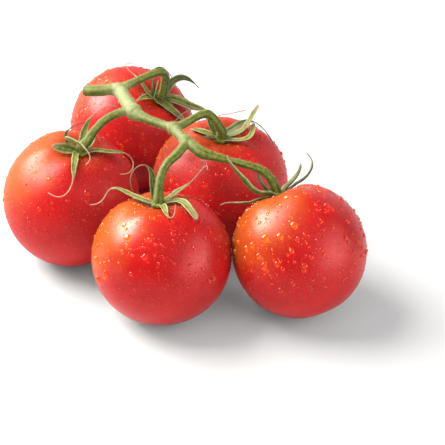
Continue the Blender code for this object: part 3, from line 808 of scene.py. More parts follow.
SEPAL, tree, shader = new_material("sepal_green", 0.55, 0.18)
leaf = group(
    tree,
    GROWN_COLOUR,
    colour=(0.120, 0.148, 0.010, 1),
    patch_colour=(0.250, 0.270, 0.028, 1),
    patch_scale=420.0,
    patch_share=0.5,
    patch_softness=0.16,
    speck_colour=(0.40, 0.42, 0.16, 1),
    speck_scale=1200.0,
    speck_amount=0.4,
)
across, tint, dry, under = (read_mark(tree, name) for name in ("across", "tint", "dry", "under"))
pale = calc(tree, "MULTIPLY", calc(tree, "MAXIMUM", tint, 0.0), 0.45)
dark = calc(tree, "MAXIMUM", calc(tree, "MULTIPLY", tint, -1.0), 0.0)
toned = blend(tree, dark, blend(tree, pale, leaf["Colour"], CREAM_GREEN), DARK_OLIVE)
vein_wave = calc(tree, "COSINE", calc(tree, "MULTIPLY", across, VEINS_ACROSS))
veins = calc(tree, "POWER", calc(tree, "MULTIPLY_ADD", vein_wave, 0.5, 0.5), 4.0)
edge = ramp(tree, across, 0.66, 0.86, 0.0, 0.95)
lines = calc(tree, "MAXIMUM", calc(tree, "MULTIPLY", veins, 0.6), edge)
lines = calc(tree, "MULTIPLY", lines, calc(tree, "MULTIPLY_ADD", tint, 0.38, 0.62))
lines = calc(tree, "MULTIPLY", lines, calc(tree, "MULTIPLY_ADD", leaf["Patches"], 0.35, 0.65))
lined = blend(tree, lines, toned, VEIN_CREAM)
# Painted shade: each sepal is darker underneath.
shaded = blend(tree, calc(tree, "MULTIPLY", under, 0.6), lined, UNDERSIDE_SHADE)
straw_tone = add(tree, "ShaderNodeClamp", {"Value": calc(tree, "MULTIPLY_ADD", tint, 0.9, 0.92)}).outputs[0]
straw = blend(tree, straw_tone, DARK_STRAW, PALE_STRAW)
tree.links.new(blend(tree, dry, shaded, straw), shader.inputs["Base Color"])
leaf_relief = group(
    tree, GROWN_RELIEF, broad_scale=700.0, broad_height=0.25, fine_scale=2600.0, fine_height=0.08, strength=0.7
)
tree.links.new(leaf_relief["Normal"], shader.inputs["Normal"])
print("material", SEPAL.name)

# %% [markdown]
# ## Melting the stems together
#
# The swept stems overlap at the forks. A voxel remesh gives them one closed skin, and smoothing
# rounds the creases. Then each point looks up the nearest spot on the routes. From its angle round
# the stem it gets the shallow lengthwise ridges that a tomato stem has, from a noise its small
# bumps, and from its place and facing the marks that the stem's colour reads.

# %% Grow the vine
VINE_VOXEL = 0.34 * MM

start = bpy.data.meshes.new("vine_routes")
places = [tuple(point[:3]) for route in stem_routes for point in route]
edges = []
count = 0
for route in stem_routes:
    edges += [(count + i, count + i + 1) for i in range(len(route) - 1)]
    count += len(route)
knot_places = [tuple(Vector(knot[:3]) * MM) for knot in KNOTS]
start.from_pydata(places + knot_places, edges, [])
thickness = [point[3] / 2 for route in stem_routes for point in route] + [0.0] * len(KNOTS)
knot_sizes = [0.0] * count + [knot[3] / 2 * MM for knot in KNOTS]
start.attributes.new("thickness", "FLOAT", "POINT").data.foreach_set("value", thickness)
start.attributes.new("knot_size", "FLOAT", "POINT").data.foreach_set("value", knot_sizes)
rough_vine = grow("rough_vine", STEM_SHAPE, start, sides=20, knot_fineness=4, skin=STEM)

remesh = rough_vine.modifiers.new("melt", "REMESH")
remesh.mode = "VOXEL"
remesh.voxel_size = VINE_VOXEL
soften = rough_vine.modifiers.new("soften", "SMOOTH")
soften.factor = 0.5
soften.iterations = 9
vine_mesh = plain_mesh(rough_vine)
print("vine:", len(vine_mesh.vertices), "points")

# %% Ridges, bumps and marks
RIDGES = 5
RIDGE_HEIGHT = 0.13 * MM
BUMP_HEIGHT = 0.20 * MM
BROAD_BUMP, FINE_BUMP = 3.2 * MM, 1.1 * MM
FORK_REACH = 8 * MM
LIT_SIDE = Vector((-0.75, -0.15, 0.65)).normalized()
PALE_FROM, PALE_TO = Vector((-30, 22, 71)) * MM, Vector((-23.5, 6, 72)) * MM
PALE_REACH = 6.5 * MM
CUT_END = Vector(MAIN_STEM[0][:3]) * MM
CUT_REACH = 3.4 * MM

finder = KDTree(count)
sample_frames = []
for route in stem_routes:
    sample_frames += frames_along([Vector(point[:3]) for point in route], Vector((0.1, 0.2, 1)))
for i, place in enumerate(places):
    finder.insert(place, i)
finder.balance()
marks = {"pale": [], "cut": [], "groove": []}
moved = []
stretch = PALE_TO - PALE_FROM
for vertex in vine_mesh.vertices:
    spot = vertex.co.copy()
    centre, i, _ = finder.find(spot)
    tangent, side, normal = sample_frames[i]
    arm = spot - centre
    arm = arm - tangent * arm.dot(tangent)
    wave = math.cos(RIDGES * math.atan2(arm.dot(side), arm.dot(normal)))
    fork = min((Vector(knot) - spot).length / FORK_REACH for knot in knot_places)
    ridged = min(1, max(0, fork - 0.5) * 2)
    bump = noise.noise(spot / BROAD_BUMP) * BUMP_HEIGHT + noise.noise(spot / FINE_BUMP) * BUMP_HEIGHT * 0.35
    moved.append(spot + arm.normalized() * (wave * RIDGE_HEIGHT * ridged + bump))
    lit_side = vertex.normal.dot(LIT_SIDE)
    share = min(1, max(0, (spot - PALE_FROM).dot(stretch) / stretch.length_squared))
    off = (spot - (PALE_FROM + stretch * share)).length
    pale_stretch = math.exp(-((off / PALE_REACH) ** 2)) * 0.9
    # Painted shade: darker in the grooves and on the side away from the window.
    marks["groove"].append(max(0.0, -wave) * ridged + max(0, 0.25 - lit_side))
    # The pale stretch and the knots are the stem's own colour. The lit side is painted light.
    marks["pale"].append(pale_stretch + 0.25 * max(0, 1.3 - fork) + max(0, lit_side - 0.45) * 0.9)
    marks["cut"].append(max(0.0, 1 - (spot - CUT_END).length / CUT_REACH))
for vertex, spot in zip(vine_mesh.vertices, moved):
    vertex.co = spot
for name, values in marks.items():
    vine_mesh.attributes.new(name, "FLOAT", "POINT").data.foreach_set("value", values)
vine_mesh.materials.clear()
vine_mesh.materials.append(STEM)
vine_mesh.shade_smooth()
vine = show("green_vine", vine_mesh)
hand_in(vine, "vine")
print("vine:", len(vine_mesh.polygons), "faces")

# %% [markdown]
# ## Hairs on the vine
#
# Tomato stems are downy. The hairs are far too many to place by hand and all follow one rule: a
# fine cone that stands on the skin and leans a little at random. A hair has only four faces.

# %% Tree: hairs
tree, given, result = new_tree(
    "hairs",
    "GeometryNodeTree",
    [
        ("Geometry", "Geometry", None),
        ("Count Per Square Metre", "Float", 1e6),
        ("Shortest", "Float", 0.4 * MM),
        ("Longest", "Float", 0.9 * MM),
        ("Thickness", "Float", 0.035 * MM),
        ("Lean", "Float", 0.5),
        ("Seed", "Int", 1),
        ("Hair", "Material", None),
    ],
    [("Geometry", "Geometry")],
)
FULL_TURN = 6.28
roots = scatter(tree, given["Geometry"], given["Count Per Square Metre"], given["Seed"])
cone = add(
    tree,
    "GeometryNodeMeshCone",
    {"Vertices": 3, "Side Segments": 1, "Radius Top": 0.0, "Radius Bottom": 1.0, "Depth": 1.0},
    fill_type="NGON",
).outputs["Mesh"]
length = random_number(tree, given["Shortest"], given["Longest"], given["Seed"])
lean, back_lean = given["Lean"], calc(tree, "MULTIPLY", given["Lean"], -1.0)
leaning = random_vector(
    tree,
    combine(tree, back_lean, back_lean, 0.0),
    combine(tree, lean, lean, FULL_TURN),
    calc(tree, "ADD", given["Seed"], 3.0),
)
turned = add(
    tree, "FunctionNodeRotateRotation", {0: roots["Rotation"], 1: leaning}, rotation_space="LOCAL"
).outputs[0]
hair_size = combine(tree, given["Thickness"], given["Thickness"], length)
standing = add(
    tree,
    "GeometryNodeInstanceOnPoints",
    {"Points": roots["Points"], "Instance": cone, "Rotation": turned, "Scale": hair_size},
).outputs[0]
HAIRS = end_tree(tree, realize(tree, standing), given["Hair"], result)

# %% Grow the hairs
HAIR, tree, shader = new_material("stem_hair", 0.5, 0.4)
shader.inputs["Base Color"].default_value = (0.62, 0.62, 0.38, 1)
hairs = grow("vine_hairs", HAIRS, vine_mesh, count_per_square_metre=1.1e6, seed=5, hair=HAIR)
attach(hairs, "root")
print("hairs:", len(hairs.data.polygons), "faces")

# %% [markdown]
# ## The calyxes
#
# Every fruit wears a star of thin green sepals that were once the back of the flower. They grow
# from a small button in the dimple, arch over the shoulder, curl, and dry to threads. Each follows
# its own route, which is first bent clear of the skin and the stems, just as in the solid model.
# Then a thin blade is lofted along it: hollow above, with a rib below and slightly wavy edges.

# %% Sepal routes
SEPAL_CLEARANCE = 0.4 * MM
BENDING_ROUNDS = 8
SEPAL_THICKNESS = 0.9 * MM
SOLID_THREAD = 0.85 * MM
THREAD_WIDTH = 0.52 * MM
SEPAL_STEP = 2.0 * MM
ROOT_RADIUS = 1.9 * MM
ROOT_LIFT = 1.6 * MM

Sepal = namedtuple("Sepal", "tint width blade twist route")

# A sepal's tint runs from -1, dark olive, to 1, pale cream green. Then come its greatest width in
# millimetres, the share of its length before it thins to a thread, its twist in degrees, and its
# route in millimetres from the bottom of the dimple.
SEPALS = {
    "front": [
        Sepal(0.25, 3.6, 0.68, 0, ((-6.5, 1, 2.5), (-12, 4.5, 3), (-15.5, 7, 3.5), (-19, 9, 4.5),
              (-22, 9.5, 5), (-23.5, 9, 3.5), (-24.5, 7.5, 0.5), (-26.5, 6.5, -2.5), (-29.5, 6, -3),
              (-31.5, 5.5, -2.5))),
        Sepal(-0.40, 3.2, 0.55, 0, ((-2, 4, 4), (-3, 8, 8.5), (-3, 10, 11), (-4.5, 11.5, 15), (-7, 12, 16),
              (-10, 11.5, 14.5), (-12.5, 11, 11.5), (-13.5, 10, 8), (-13, 9.5, 5), (-12, 9, 2.5))),
        Sepal(0.45, 2.8, 0.60, 0, ((5.5, 4.5, 2.5), (9, 7.5, 4), (12.5, 10, 5), (15.5, 11.5, 7),
              (18.5, 13.5, 10.5), (20.5, 14, 13), (21.5, 14.5, 14.5), (23, 14.5, 13.5), (22.5, 13, 11.5),
              (21.5, 12.5, 11.5))),
        Sepal(0.50, 2.9, 1.30, 0, ((5.5, 0, 3), (9.5, -2.5, 5.5), (12.5, -8, 7), (15, -11.5, 5.5),
              (17.5, -14, 3))),
        Sepal(0.50, 2.8, 0.72, 0, ((1.5, -4, 4), (2.5, -8.5, 6), (3.5, -12.5, 6), (4.5, -15.5, 5),
              (6, -17.5, 4.5), (7.5, -16.5, 5.5), (8, -14.5, 7.5), (8, -13.5, 11))),
    ],
    "left": [
        Sepal(0.45, 2.6, 0.60, 0, ((-2, -4, 3.5), (-1.5, -8, 3), (-2, -14, 2.5), (-1.5, -18, 1),
              (-1.5, -21.5, -1), (-2.5, -24, -3), (-4.5, -27, -5), (-7.5, -28.5, -6), (-10.5, -28, -5),
              (-13, -26.5, -4))),
        Sepal(0.1, 4.2, 1.15, -65, ((-5, -3, 4.5), (-9, -5.5, 7), (-12, -6.5, 8.5))),
        Sepal(0.35, 2.4, 0.80, 40, ((-4, 1, 5), (-6, 0, 7.5), (-7, -2.5, 10), (-4, -3.5, 10),
              (1, -6.5, 9.5), (5, -11, 8.5), (7, -13.5, 6), (6, -14.5, 4.5), (3.5, -14.5, 3))),
        Sepal(-0.8, 1.8, 0.60, 0, ((-6, 3, 5), (-8, 3.5, 7.5), (-7, 5, 8.5), (-5, 9, 8.5), (-1.5, 12, 9),
              (3.5, 15, 8.5))),
        Sepal(0.1, 2.8, 0.60, 0, ((0.5, 5, 2), (1.5, 10.5, 4.5), (3, 14, 9), (6.5, 17, 12), (10, 17, 15.5),
              (13, 18, 16.5), (16.5, 18, 15), (17.5, 18, 14.5))),
        Sepal(0.4, 2.2, 0.55, 0, ((2, -1.5, 2), (5.5, -1, 2.5), (8.5, -1, 3), (13, -1.5, 2), (18, 1.5, 0),
              (21, 4.5, -2), (22.5, 5.5, -4), (24, 6, -6), (25, 4.5, -7.5), (25, 1.5, -8.5),
              (23.5, -3, -8.5), (21.5, -6, -7.5), (19, -9, -5.5))),
        Sepal(0.2, 2.2, 1.00, 0, ((2, 0.5, 2), (4.5, 1, 3), (5.5, 4, 3.5), (7, 8.5, 4))),
    ],
    "right": [
        Sepal(0.15, 4.0, 1.00, 0, ((-5, -3, 5), (-9, -6, 6.5), (-12.5, -4.5, 7.5), (-15, -3, 10),
              (-17, -1.5, 12.5), (-19, -0.5, 14), (-20.5, 1, 16), (-22.5, 2, 18.5), (-24, 4, 21.5))),
        Sepal(-0.9, 2.2, 1.00, 0, ((-4, 0.5, 4.5), (-7, 0.5, 5.5), (-8.5, 3.5, 6.5), (-9.5, 7, 8),
              (-9.5, 11, 13.5))),
        Sepal(0.3, 2.6, 0.85, 0, ((-4, -2, 3), (-7, -4, 3.5), (-10, -3.5, 2), (-13.5, 0, -2),
              (-18, 2.5, -3.5), (-22.5, 3.5, -4), (-25.5, 3, -3.5), (-27, 2.5, -5))),
        Sepal(-0.35, 4.6, 1.00, 0, ((3, 5, 3), (7, 8.5, 4.5), (9, 9.5, 7.5), (10.5, 10.5, 10.5),
              (10, 11.5, 12.5))),
        Sepal(-0.5, 2.4, 0.90, 0, ((5, 4.5, 2.5), (10, 7.5, 4), (13, 9.5, 6.5), (15, 9.5, 10),
              (16, 11.5, 13), (15, 13, 15), (12.5, 14, 16.5))),
    ],
    "back": [
        Sepal(0.4, 2.6, 1.00, 0, ((-0.5, -3, 3), (-1, -2.5, 5.5), (-0.5, -1, 8.5), (1, 0.5, 11.5))),
        Sepal(-0.8, 2.6, 0.90, 0, ((-2.5, -2, 5.5), (-1.5, 0, 11.5), (-2.5, 4, 14.5), (-0.5, 6, 16),
              (1.5, 6.5, 16), (5, 6, 14), (7.5, 5, 10.5))),
        Sepal(0.35, 3.2, 0.65, 0, ((-3, -3, 5), (-5, -5, 7), (-6, -4, 9.5), (-7.5, -3, 12),
              (-10.5, 0.5, 14.5), (-13.5, 1, 16), (-15.5, 3.5, 17.5), (-15.5, 6.5, 18), (-14.5, 8, 18),
              (-12, 4.5, 18))),
        Sepal(0.35, 2.6, 1.00, 0, ((-3, -3.5, 4.5), (-6, -7.5, 6.5), (-8.5, -11, 7.5), (-10, -13, 7))),
        Sepal(-0.85, 3.2, 0.90, 0, ((4.5, 2, 3), (5.5, 3, 6), (7.5, 6.5, 7.5), (10, 8, 8.5), (13.5, 9, 8),
              (16, 11, 5.5), (18.5, 12, 3), (21, 13.5, -1))),
        Sepal(-0.35, 5.0, 1.00, 0, ((4, -0.5, 1.5), (9, 0.5, 0), (16, 1.5, -4.5), (21, 4.5, -7.5),
              (25, 7, -10))),
        Sepal(-0.15, 4.6, 1.00, 0, ((1.5, -3, 1.5), (5.5, -5, -1.5), (9, -6.5, -4), (12, -6.5, -6.5),
              (15, -6.5, -9))),
    ],
    "middle": [
        Sepal(0.45, 2.6, 1.30, 0, ((3.5, -3.5, 3), (6.5, -5.5, 3.5), (12.5, -5.5, 4), (14.5, -2, 4),
              (15.5, 1, 5.5), (15.5, 4.5, 7))),
        Sepal(-0.10, 3.0, 1.25, 0, ((3.5, 0.5, 2.5), (8.5, -0.5, 4.5), (11.5, 1, 6), (13, 3.5, 7.5),
              (15.5, 7.5, 10.5), (18, 9, 14.5))),
        Sepal(-0.7, 3.4, 0.60, 0, ((2.5, 3.5, 2), (6.5, 4.5, 4.5), (10, 6.5, 6), (13, 8.5, 6.5),
              (17, 8, 5.5), (20, 7.5, 2.5), (23, 6.5, -1), (25, 4.5, -4))),
        Sepal(0.2, 3.2, 1.00, 0, ((-3.5, 1, 2.5), (-6.5, 1, 3.5), (-10, 2.5, 4), (-12.5, 4, 4),
              (-15, 5, 3.5))),
        Sepal(-0.6, 2.8, 0.60, 0, ((-2.5, 1.5, 2.5), (-3.5, 2, 3.5), (-5, 5, 5.5), (-5.5, 6.5, 7),
              (-7, 9.5, 11), (-9.5, 11, 12), (-12, 10.5, 11.5), (-15.5, 10.5, 11), (-18, 9.5, 9.5),
              (-21, 8, 7.5), (-22.5, 7.5, 5.5))),
        Sepal(-0.6, 1.6, 0.80, 0, ((-3, -0.5, 2.5), (-5.5, -4, 4.5), (-8.5, -5, 6), (-10.5, -5.5, 5.5),
              (-12, -7, 5))),
        Sepal(0.4, 1.6, 0.50, 0, ((-2.5, 5, 3), (-3, 9.5, 6), (-3, 10.5, 8), (1.5, 10, 8.5), (5.5, 10, 9),
              (9, 11, 10), (12, 11.5, 10))),
    ],
}
print("sepals:", sum(len(sepals) for sepals in SEPALS.values()))


# %% Keeping clear of fruit and stems
def surface_tree(obj):
    places = [vertex.co.copy() for vertex in obj.data.vertices]
    return BVHTree.FromPolygons(places, [tuple(face.vertices) for face in obj.data.polygons])


def is_inside(tree, point):
    """Whether a line straight up from the point leaves the closed surface an odd number of times."""
    crossings = 0
    start = point
    while crossings < 20:
        place, _, _, _ = tree.ray_cast(start, Vector((0, 0, 1)))
        if place is None:
            break
        crossings += 1
        start = place + Vector((0, 0, 0.001 * MM))
    return crossings % 2 == 1


def room_needed(point, trees, room):
    """The shift that takes a point out to where every surface leaves it room."""
    shift = Vector((0, 0, 0))
    for tree in trees:
        place, _, _, distance = tree.find_nearest(point)
        if distance > 3 * room and distance > 3 * MM:
            continue
        inside = is_inside(tree, point)
        short = room + distance if inside else room - distance
        if short > shift.length:
            outward = place - point if inside else point - place
            shift = outward.normalized() * short
    return shift


# %% Bending a sepal's route clear
WIDEST_AT = 0.35


def sepal_width(sepal, share, thread):
    """The width at a share of the length: narrow at the root, widest early, then down to a thread."""
    if share >= sepal.blade and sepal.blade < 1:
        return thread
    x = share / sepal.blade
    swell = 0.72 + 0.28 * math.sin(math.pi * min(1, x / WIDEST_AT) / 2)
    taper = 1 - max(0, (x - WIDEST_AT) / 0.65) ** 2.2
    return max(thread, sepal.width * MM * swell * taper)


def bent_route(sepal, base, axis, trees):
    outward = Vector(sepal.route[0])
    outward = (outward - axis * outward.dot(axis)).normalized()
    root = outward * ROOT_RADIUS + axis * ROOT_LIFT
    route = smooth_route([root, *(Vector(point) * MM for point in sepal.route)], SEPAL_STEP)
    route = [base + Vector(point) for point in route]
    count = len(route)
    widths = [sepal_width(sepal, i / (count - 1), SOLID_THREAD) for i in range(count)]
    for bending_round in range(BENDING_ROUNDS):
        frames = frames_along(route, axis)
        edges = [
            [point + frame[1] * width * across for across in (-0.5, 0, 0.5)]
            for point, frame, width in zip(route, frames, widths)
        ]
        for i in range(1, count):
            tests = [*edges[i], *((a + b) / 2 for a, b in zip(edges[i - 1], edges[i]))]
            shifts = [room_needed(test, trees, SEPAL_CLEARANCE + SEPAL_THICKNESS / 2) for test in tests]
            route[i] = route[i] + max(shifts, key=lambda shift: shift.length)
        if bending_round < BENDING_ROUNDS - 2:
            eased = [(a + 4 * b + c) / 6 for a, b, c in zip(route, route[1:], route[2:])]
            route = [route[0], *eased, route[-1]]
    return route


# %% Lofting a blade
LOFT_STEP = 0.55 * MM
BLADE_POINTS = 15
BLADE_WIDENING = 1.3
ROOT_OVERLAP = 1.2 * MM
TIP_LENGTH = 2.2 * MM
FLATTENING = 1.6 * MM
RIPPLE = 0.22 * MM
HALF_THICK, EDGE_THICK = 0.24 * MM, 0.05 * MM
RIB = 0.30 * MM
GROOVE, GROOVES = 0.05 * MM, 15.7


def add_sepal(body, layers, sepal, route, axis, seed):
    """Adds one thin, hollowed blade to the calyx and marks where on the blade each point is."""
    rooted = [route[0] - (route[1] - route[0]).normalized() * ROOT_OVERLAP, *route]
    fine = [Vector(point) for point in smooth_route(rooted, LOFT_STEP)]
    count = len(fine)
    rings = []
    us = np.linspace(-1, 1, BLADE_POINTS)
    for i, (point, (tangent, side, normal)) in enumerate(zip(fine, frames_along(fine, axis))):
        share = i / (count - 1)
        turn = Matrix.Rotation(math.radians(sepal.twist) * share, 3, tangent)
        side, normal = turn @ side, turn @ normal
        width = BLADE_WIDENING * sepal_width(sepal, share, THREAD_WIDTH) - 0.3 * THREAD_WIDTH
        width = max(THREAD_WIDTH, width)
        width = width * min(1, 0.35 + 1.6 * (1 - share) * count * LOFT_STEP / TIP_LENGTH)
        blade = min(1, max(0, (width - THREAD_WIDTH) / FLATTENING))
        dry = max(0, (share - 0.8) * 4)
        if sepal.blade < 1:
            dry = min(1, max(0, (share - sepal.blade * 0.82) / 0.14))
        ring = []
        for upper in (True, False):
            for u in us if upper else us[::-1][1:-1]:
                round_off = math.sqrt(max(0, 1 - u * u))
                ripple = noise.noise(Vector((share * 9, seed * 7.3, u * 0.6)))
                reach = width / 2 * u * (1 + 0.16 * blade * ripple)
                hollow = 0.17 * width * blade * u * u + RIPPLE * blade * ripple * abs(u)
                thick = 0.5 * (1 - blade) * width * round_off + blade * (HALF_THICK * round_off + EDGE_THICK)
                rib = RIB * blade * math.exp(-((u / 0.22) ** 2))
                groove = GROOVE * blade * math.cos(GROOVES * u)
                rise = hollow + (thick - 0.4 * rib + groove if upper else -thick - rib)
                vertex = body.verts.new(point + side * reach + normal * rise)
                vertex[layers["across"]] = abs(u)
                vertex[layers["tint"]] = sepal.tint
                vertex[layers["dry"]] = dry
                vertex[layers["under"]] = 0.0 if upper else 1 - abs(u) ** 4
                ring.append(vertex)
        rings.append(ring)
    for ring, following in zip(rings, rings[1:]):
        for i in range(len(ring)):
            j = (i + 1) % len(ring)
            body.faces.new((ring[i], ring[j], following[j], following[i]))
    body.faces.new(rings[0][::-1])
    body.faces.new(rings[-1])


BUTTON_RADIUS, BUTTON_RISE, BUTTON_LIFT = 3.7, 1.5, 1.6
BUTTON_MARKS = {"across": 0.3, "tint": 0.05, "dry": 0.0, "under": 0.15}


def add_button(body, layers, base, axis):
    """Adds the small button in the dimple that the sepals and the stalk grow from."""
    upright = Vector((0, 0, 1)).rotation_difference(axis).to_matrix()
    made = bmesh.ops.create_uvsphere(body, u_segments=40, v_segments=20, radius=1)["verts"]
    for vertex in made:
        x, y, z = vertex.co
        lobe = 1 + 0.06 * math.cos(5 * math.atan2(y, x))
        flat = Vector((x * BUTTON_RADIUS * MM * lobe, y * BUTTON_RADIUS * MM * lobe, z * BUTTON_RISE * MM))
        vertex.co = base + axis * BUTTON_LIFT * MM + upright @ flat
        for name, value in BUTTON_MARKS.items():
            vertex[layers[name]] = value


def piece_from(body, name, material):
    """Turns the mesh being edited into a smooth piece of one material."""
    mesh = bpy.data.meshes.new(name)
    body.to_mesh(mesh)
    body.free()
    mesh.shade_smooth()
    mesh.materials.append(material)
    return show(name, mesh)


# %% Grow the calyxes
solids = [surface_tree(frame["nodes"]["tomato_" + name]) for name in TOMATOES]
solids.append(surface_tree(frame["nodes"]["vine"]))
greens = [vine]
for name, sepals in SEPALS.items():
    base, axis = stem_ends[name]
    body = bmesh.new()
    layers = {layer: body.verts.layers.float.new(layer) for layer in BUTTON_MARKS}
    add_button(body, layers, base, axis)
    for i, sepal in enumerate(sepals):
        add_sepal(body, layers, sepal, bent_route(sepal, base, axis, solids), axis, i + len(name))
    bmesh.ops.recalc_face_normals(body, faces=body.faces)
    piece = piece_from(body, "sepals_" + name, SEPAL)
    hand_in(piece, "calyx_" + name)
    greens.append(piece)
    print("sepals", name, len(piece.data.polygons), "faces")

# %% [markdown]
# ## Water on the skin
#
# The fruit were sprayed: a fine mist, beads of a millimetre, and a few big drops. Water on wax
# stands up as a dome. One tree scatters such domes over a skin, denser in some patches than in
# others, and keeps them off the underside and away from the sepals. It runs three times for each
# fruit, with other sizes and counts. A mist dome has few faces, because there are so many. The
# tree also marks how far each spot of a dome faces the window, for the painted light and shade on
# each drop, and which domes get a painted glint.

# %% Tree: dew
LIGHT_FROM = Vector((-0.62, 0.20, 0.76)).normalized()
SUNK = (0, 0, 0.12)
THINNEST, FULLEST = (0.82, 0.82, 0.85), (1.18, 1.18, 1.1)

tree, given, result = new_tree(
    "dew",
    "GeometryNodeTree",
    [
        ("Geometry", "Geometry", None),
        ("Greens", "Object", None),
        ("Clear Of Greens", "Float", 1 * MM),
        ("Count Per Square Metre", "Float", 1000.0),
        ("Smallest", "Float", 0.2 * MM),
        ("Largest", "Float", 0.5 * MM),
        ("Rarity", "Float", 2.0),
        ("Dome", "Float", 0.6),
        ("Sides", "Int", 8),
        ("Rings", "Int", 5),
        ("Lowest", "Float", -0.5),
        ("Clump Scale", "Float", 90.0),
        ("Clump Share", "Float", 0.6),
        ("Light From", "Vector", LIGHT_FROM),
        ("Glow", "Float", 1.0),
        ("Sparkling Share", "Float", 0.4),
        ("Seed", "Int", 1),
        ("Water", "Material", None),
    ],
    [("Geometry", "Geometry")],
)
seed = given["Seed"]
position = add(tree, "GeometryNodeInputPosition").outputs[0]
facing = add(tree, "ShaderNodeSeparateXYZ", {0: add(tree, "GeometryNodeInputNormal").outputs[0]}).outputs[2]
nearby = add(tree, "GeometryNodeObjectInfo", {"Object": given["Greens"]}, transform_space="RELATIVE")
gap = add(tree, "GeometryNodeProximity", {0: nearby.outputs["Geometry"]}, target_element="FACES").outputs["Distance"]
upper, clear = above(tree, facing, given["Lowest"]), above(tree, gap, given["Clear Of Greens"])
allowed = add(tree, "FunctionNodeBooleanMath", {0: upper, 1: clear}, operation="AND").outputs[0]
shifted = calc_vector(tree, "ADD", position, calc(tree, "MULTIPLY", seed, 0.137))[0]
least_crowd = calc(tree, "SUBTRACT", 1.0, given["Clump Share"])
crowd = ramp(tree, cloud(tree, shifted, given["Clump Scale"], 1.0), 0.35, 0.65, least_crowd, 1.0, smooth=False)
density = calc(tree, "MULTIPLY", given["Count Per Square Metre"], crowd)
scattered = scatter(tree, given["Geometry"], density, seed, allowed)
rare = calc(tree, "POWER", random_number(tree, 0.0, 1.0, seed), given["Rarity"])
size_range = calc(tree, "SUBTRACT", given["Largest"], given["Smallest"])
size = calc(tree, "MULTIPLY_ADD", rare, size_range, given["Smallest"])
stretch = random_vector(tree, THINNEST, FULLEST, calc(tree, "ADD", seed, 7.0))
dome_size = add(tree, "ShaderNodeVectorMath", {0: stretch, "Scale": size}, operation="SCALE").outputs[0]
ball = add(
    tree, "GeometryNodeMeshUVSphere", {"Segments": given["Sides"], "Rings": given["Rings"], "Radius": 1.0}
).outputs["Mesh"]
squashed = combine(tree, 1.0, 1.0, given["Dome"])
dome = add(tree, "GeometryNodeTransform", {"Geometry": ball, "Translation": SUNK, "Scale": squashed}).outputs[0]
chance = random_number(tree, 0.0, 1.0, calc(tree, "ADD", seed, 11.0))
sparkling = calc(tree, "LESS_THAN", chance, given["Sparkling Share"])
points = mark(tree, scattered["Points"], "sparkle", sparkling)
set_down = add(
    tree,
    "GeometryNodeInstanceOnPoints",
    {"Points": points, "Instance": dome, "Rotation": scattered["Rotation"], "Scale": dome_size},
).outputs[0]
smooth = add(tree, "GeometryNodeSetShadeSmooth", {"Geometry": realize(tree, set_down)}).outputs[0]
normal = add(tree, "GeometryNodeInputNormal").outputs[0]
towards_light = calc_vector(tree, "DOT_PRODUCT", normal, given["Light From"])["Value"]
away = calc(tree, "MULTIPLY", calc(tree, "SUBTRACT", 1.0, towards_light), given["Glow"])
marked = mark(tree, smooth, "towards_light", calc(tree, "SUBTRACT", 1.0, away))
DEW = end_tree(tree, marked, given["Water"], result)

# %% [markdown]
# ## The look of a drop
# A drop gathers the window's light on its far side, so it glows there, red over ripe skin and
# amber over the orange. Its near side is dark, its outline darker still, and on some drops the
# window itself glints. All of it is painted into the drop: the glow is painted light, the near side
# and the outline are painted shade, and the glint is a painted highlight that shines by itself.

# %% Water material
RED_GLOW, AMBER_GLOW = (0.88, 0.165, 0.070, 1), (1.0, 0.50, 0.05, 1)
RED_SHADE, AMBER_SHADE = (0.58, 0.045, 0.014, 1), (0.74, 0.22, 0.02, 1)
DROP_OUTLINE_SHADE = (0.20, 0.012, 0.006, 1)

WATER, tree, shader = new_material("water", 0.08, 0.5)
towards_light = read_mark(tree, "towards_light")
# Painted light on each drop's far side and painted shade on its near side.
gathered = ramp(tree, towards_light, 0.70, -0.1)
amber = ramp(tree, read_mark(tree, "pale_side"), 0.28, 0.62, smooth=False)
lit = blend(tree, gathered, blend(tree, amber, RED_SHADE, AMBER_SHADE), blend(tree, amber, RED_GLOW, AMBER_GLOW))
grazing = add(tree, "ShaderNodeLayerWeight", {"Blend": 0.5}).outputs["Facing"]
# Painted shade along each drop's outline.
outline_shaded = blend(tree, ramp(tree, grazing, 0.50, 0.88, 0.0, 0.75), lit, DROP_OUTLINE_SHADE)
tree.links.new(outline_shaded, shader.inputs["Base Color"])
# A painted glint, which shines by itself where a sparkling drop faces the window.
painted_glint = calc(tree, "MULTIPLY", ramp(tree, towards_light, 0.80, 0.97, 0.0, 0.9), read_mark(tree, "sparkle"))
tree.links.new(painted_glint, shader.inputs["Emission Strength"])
shader.inputs["Emission Color"].default_value = (1.0, 0.80, 0.70, 1)
shader.inputs["Transmission Weight"].default_value = 0.7
shader.inputs["IOR"].default_value = 1.333
print("material", WATER.name)

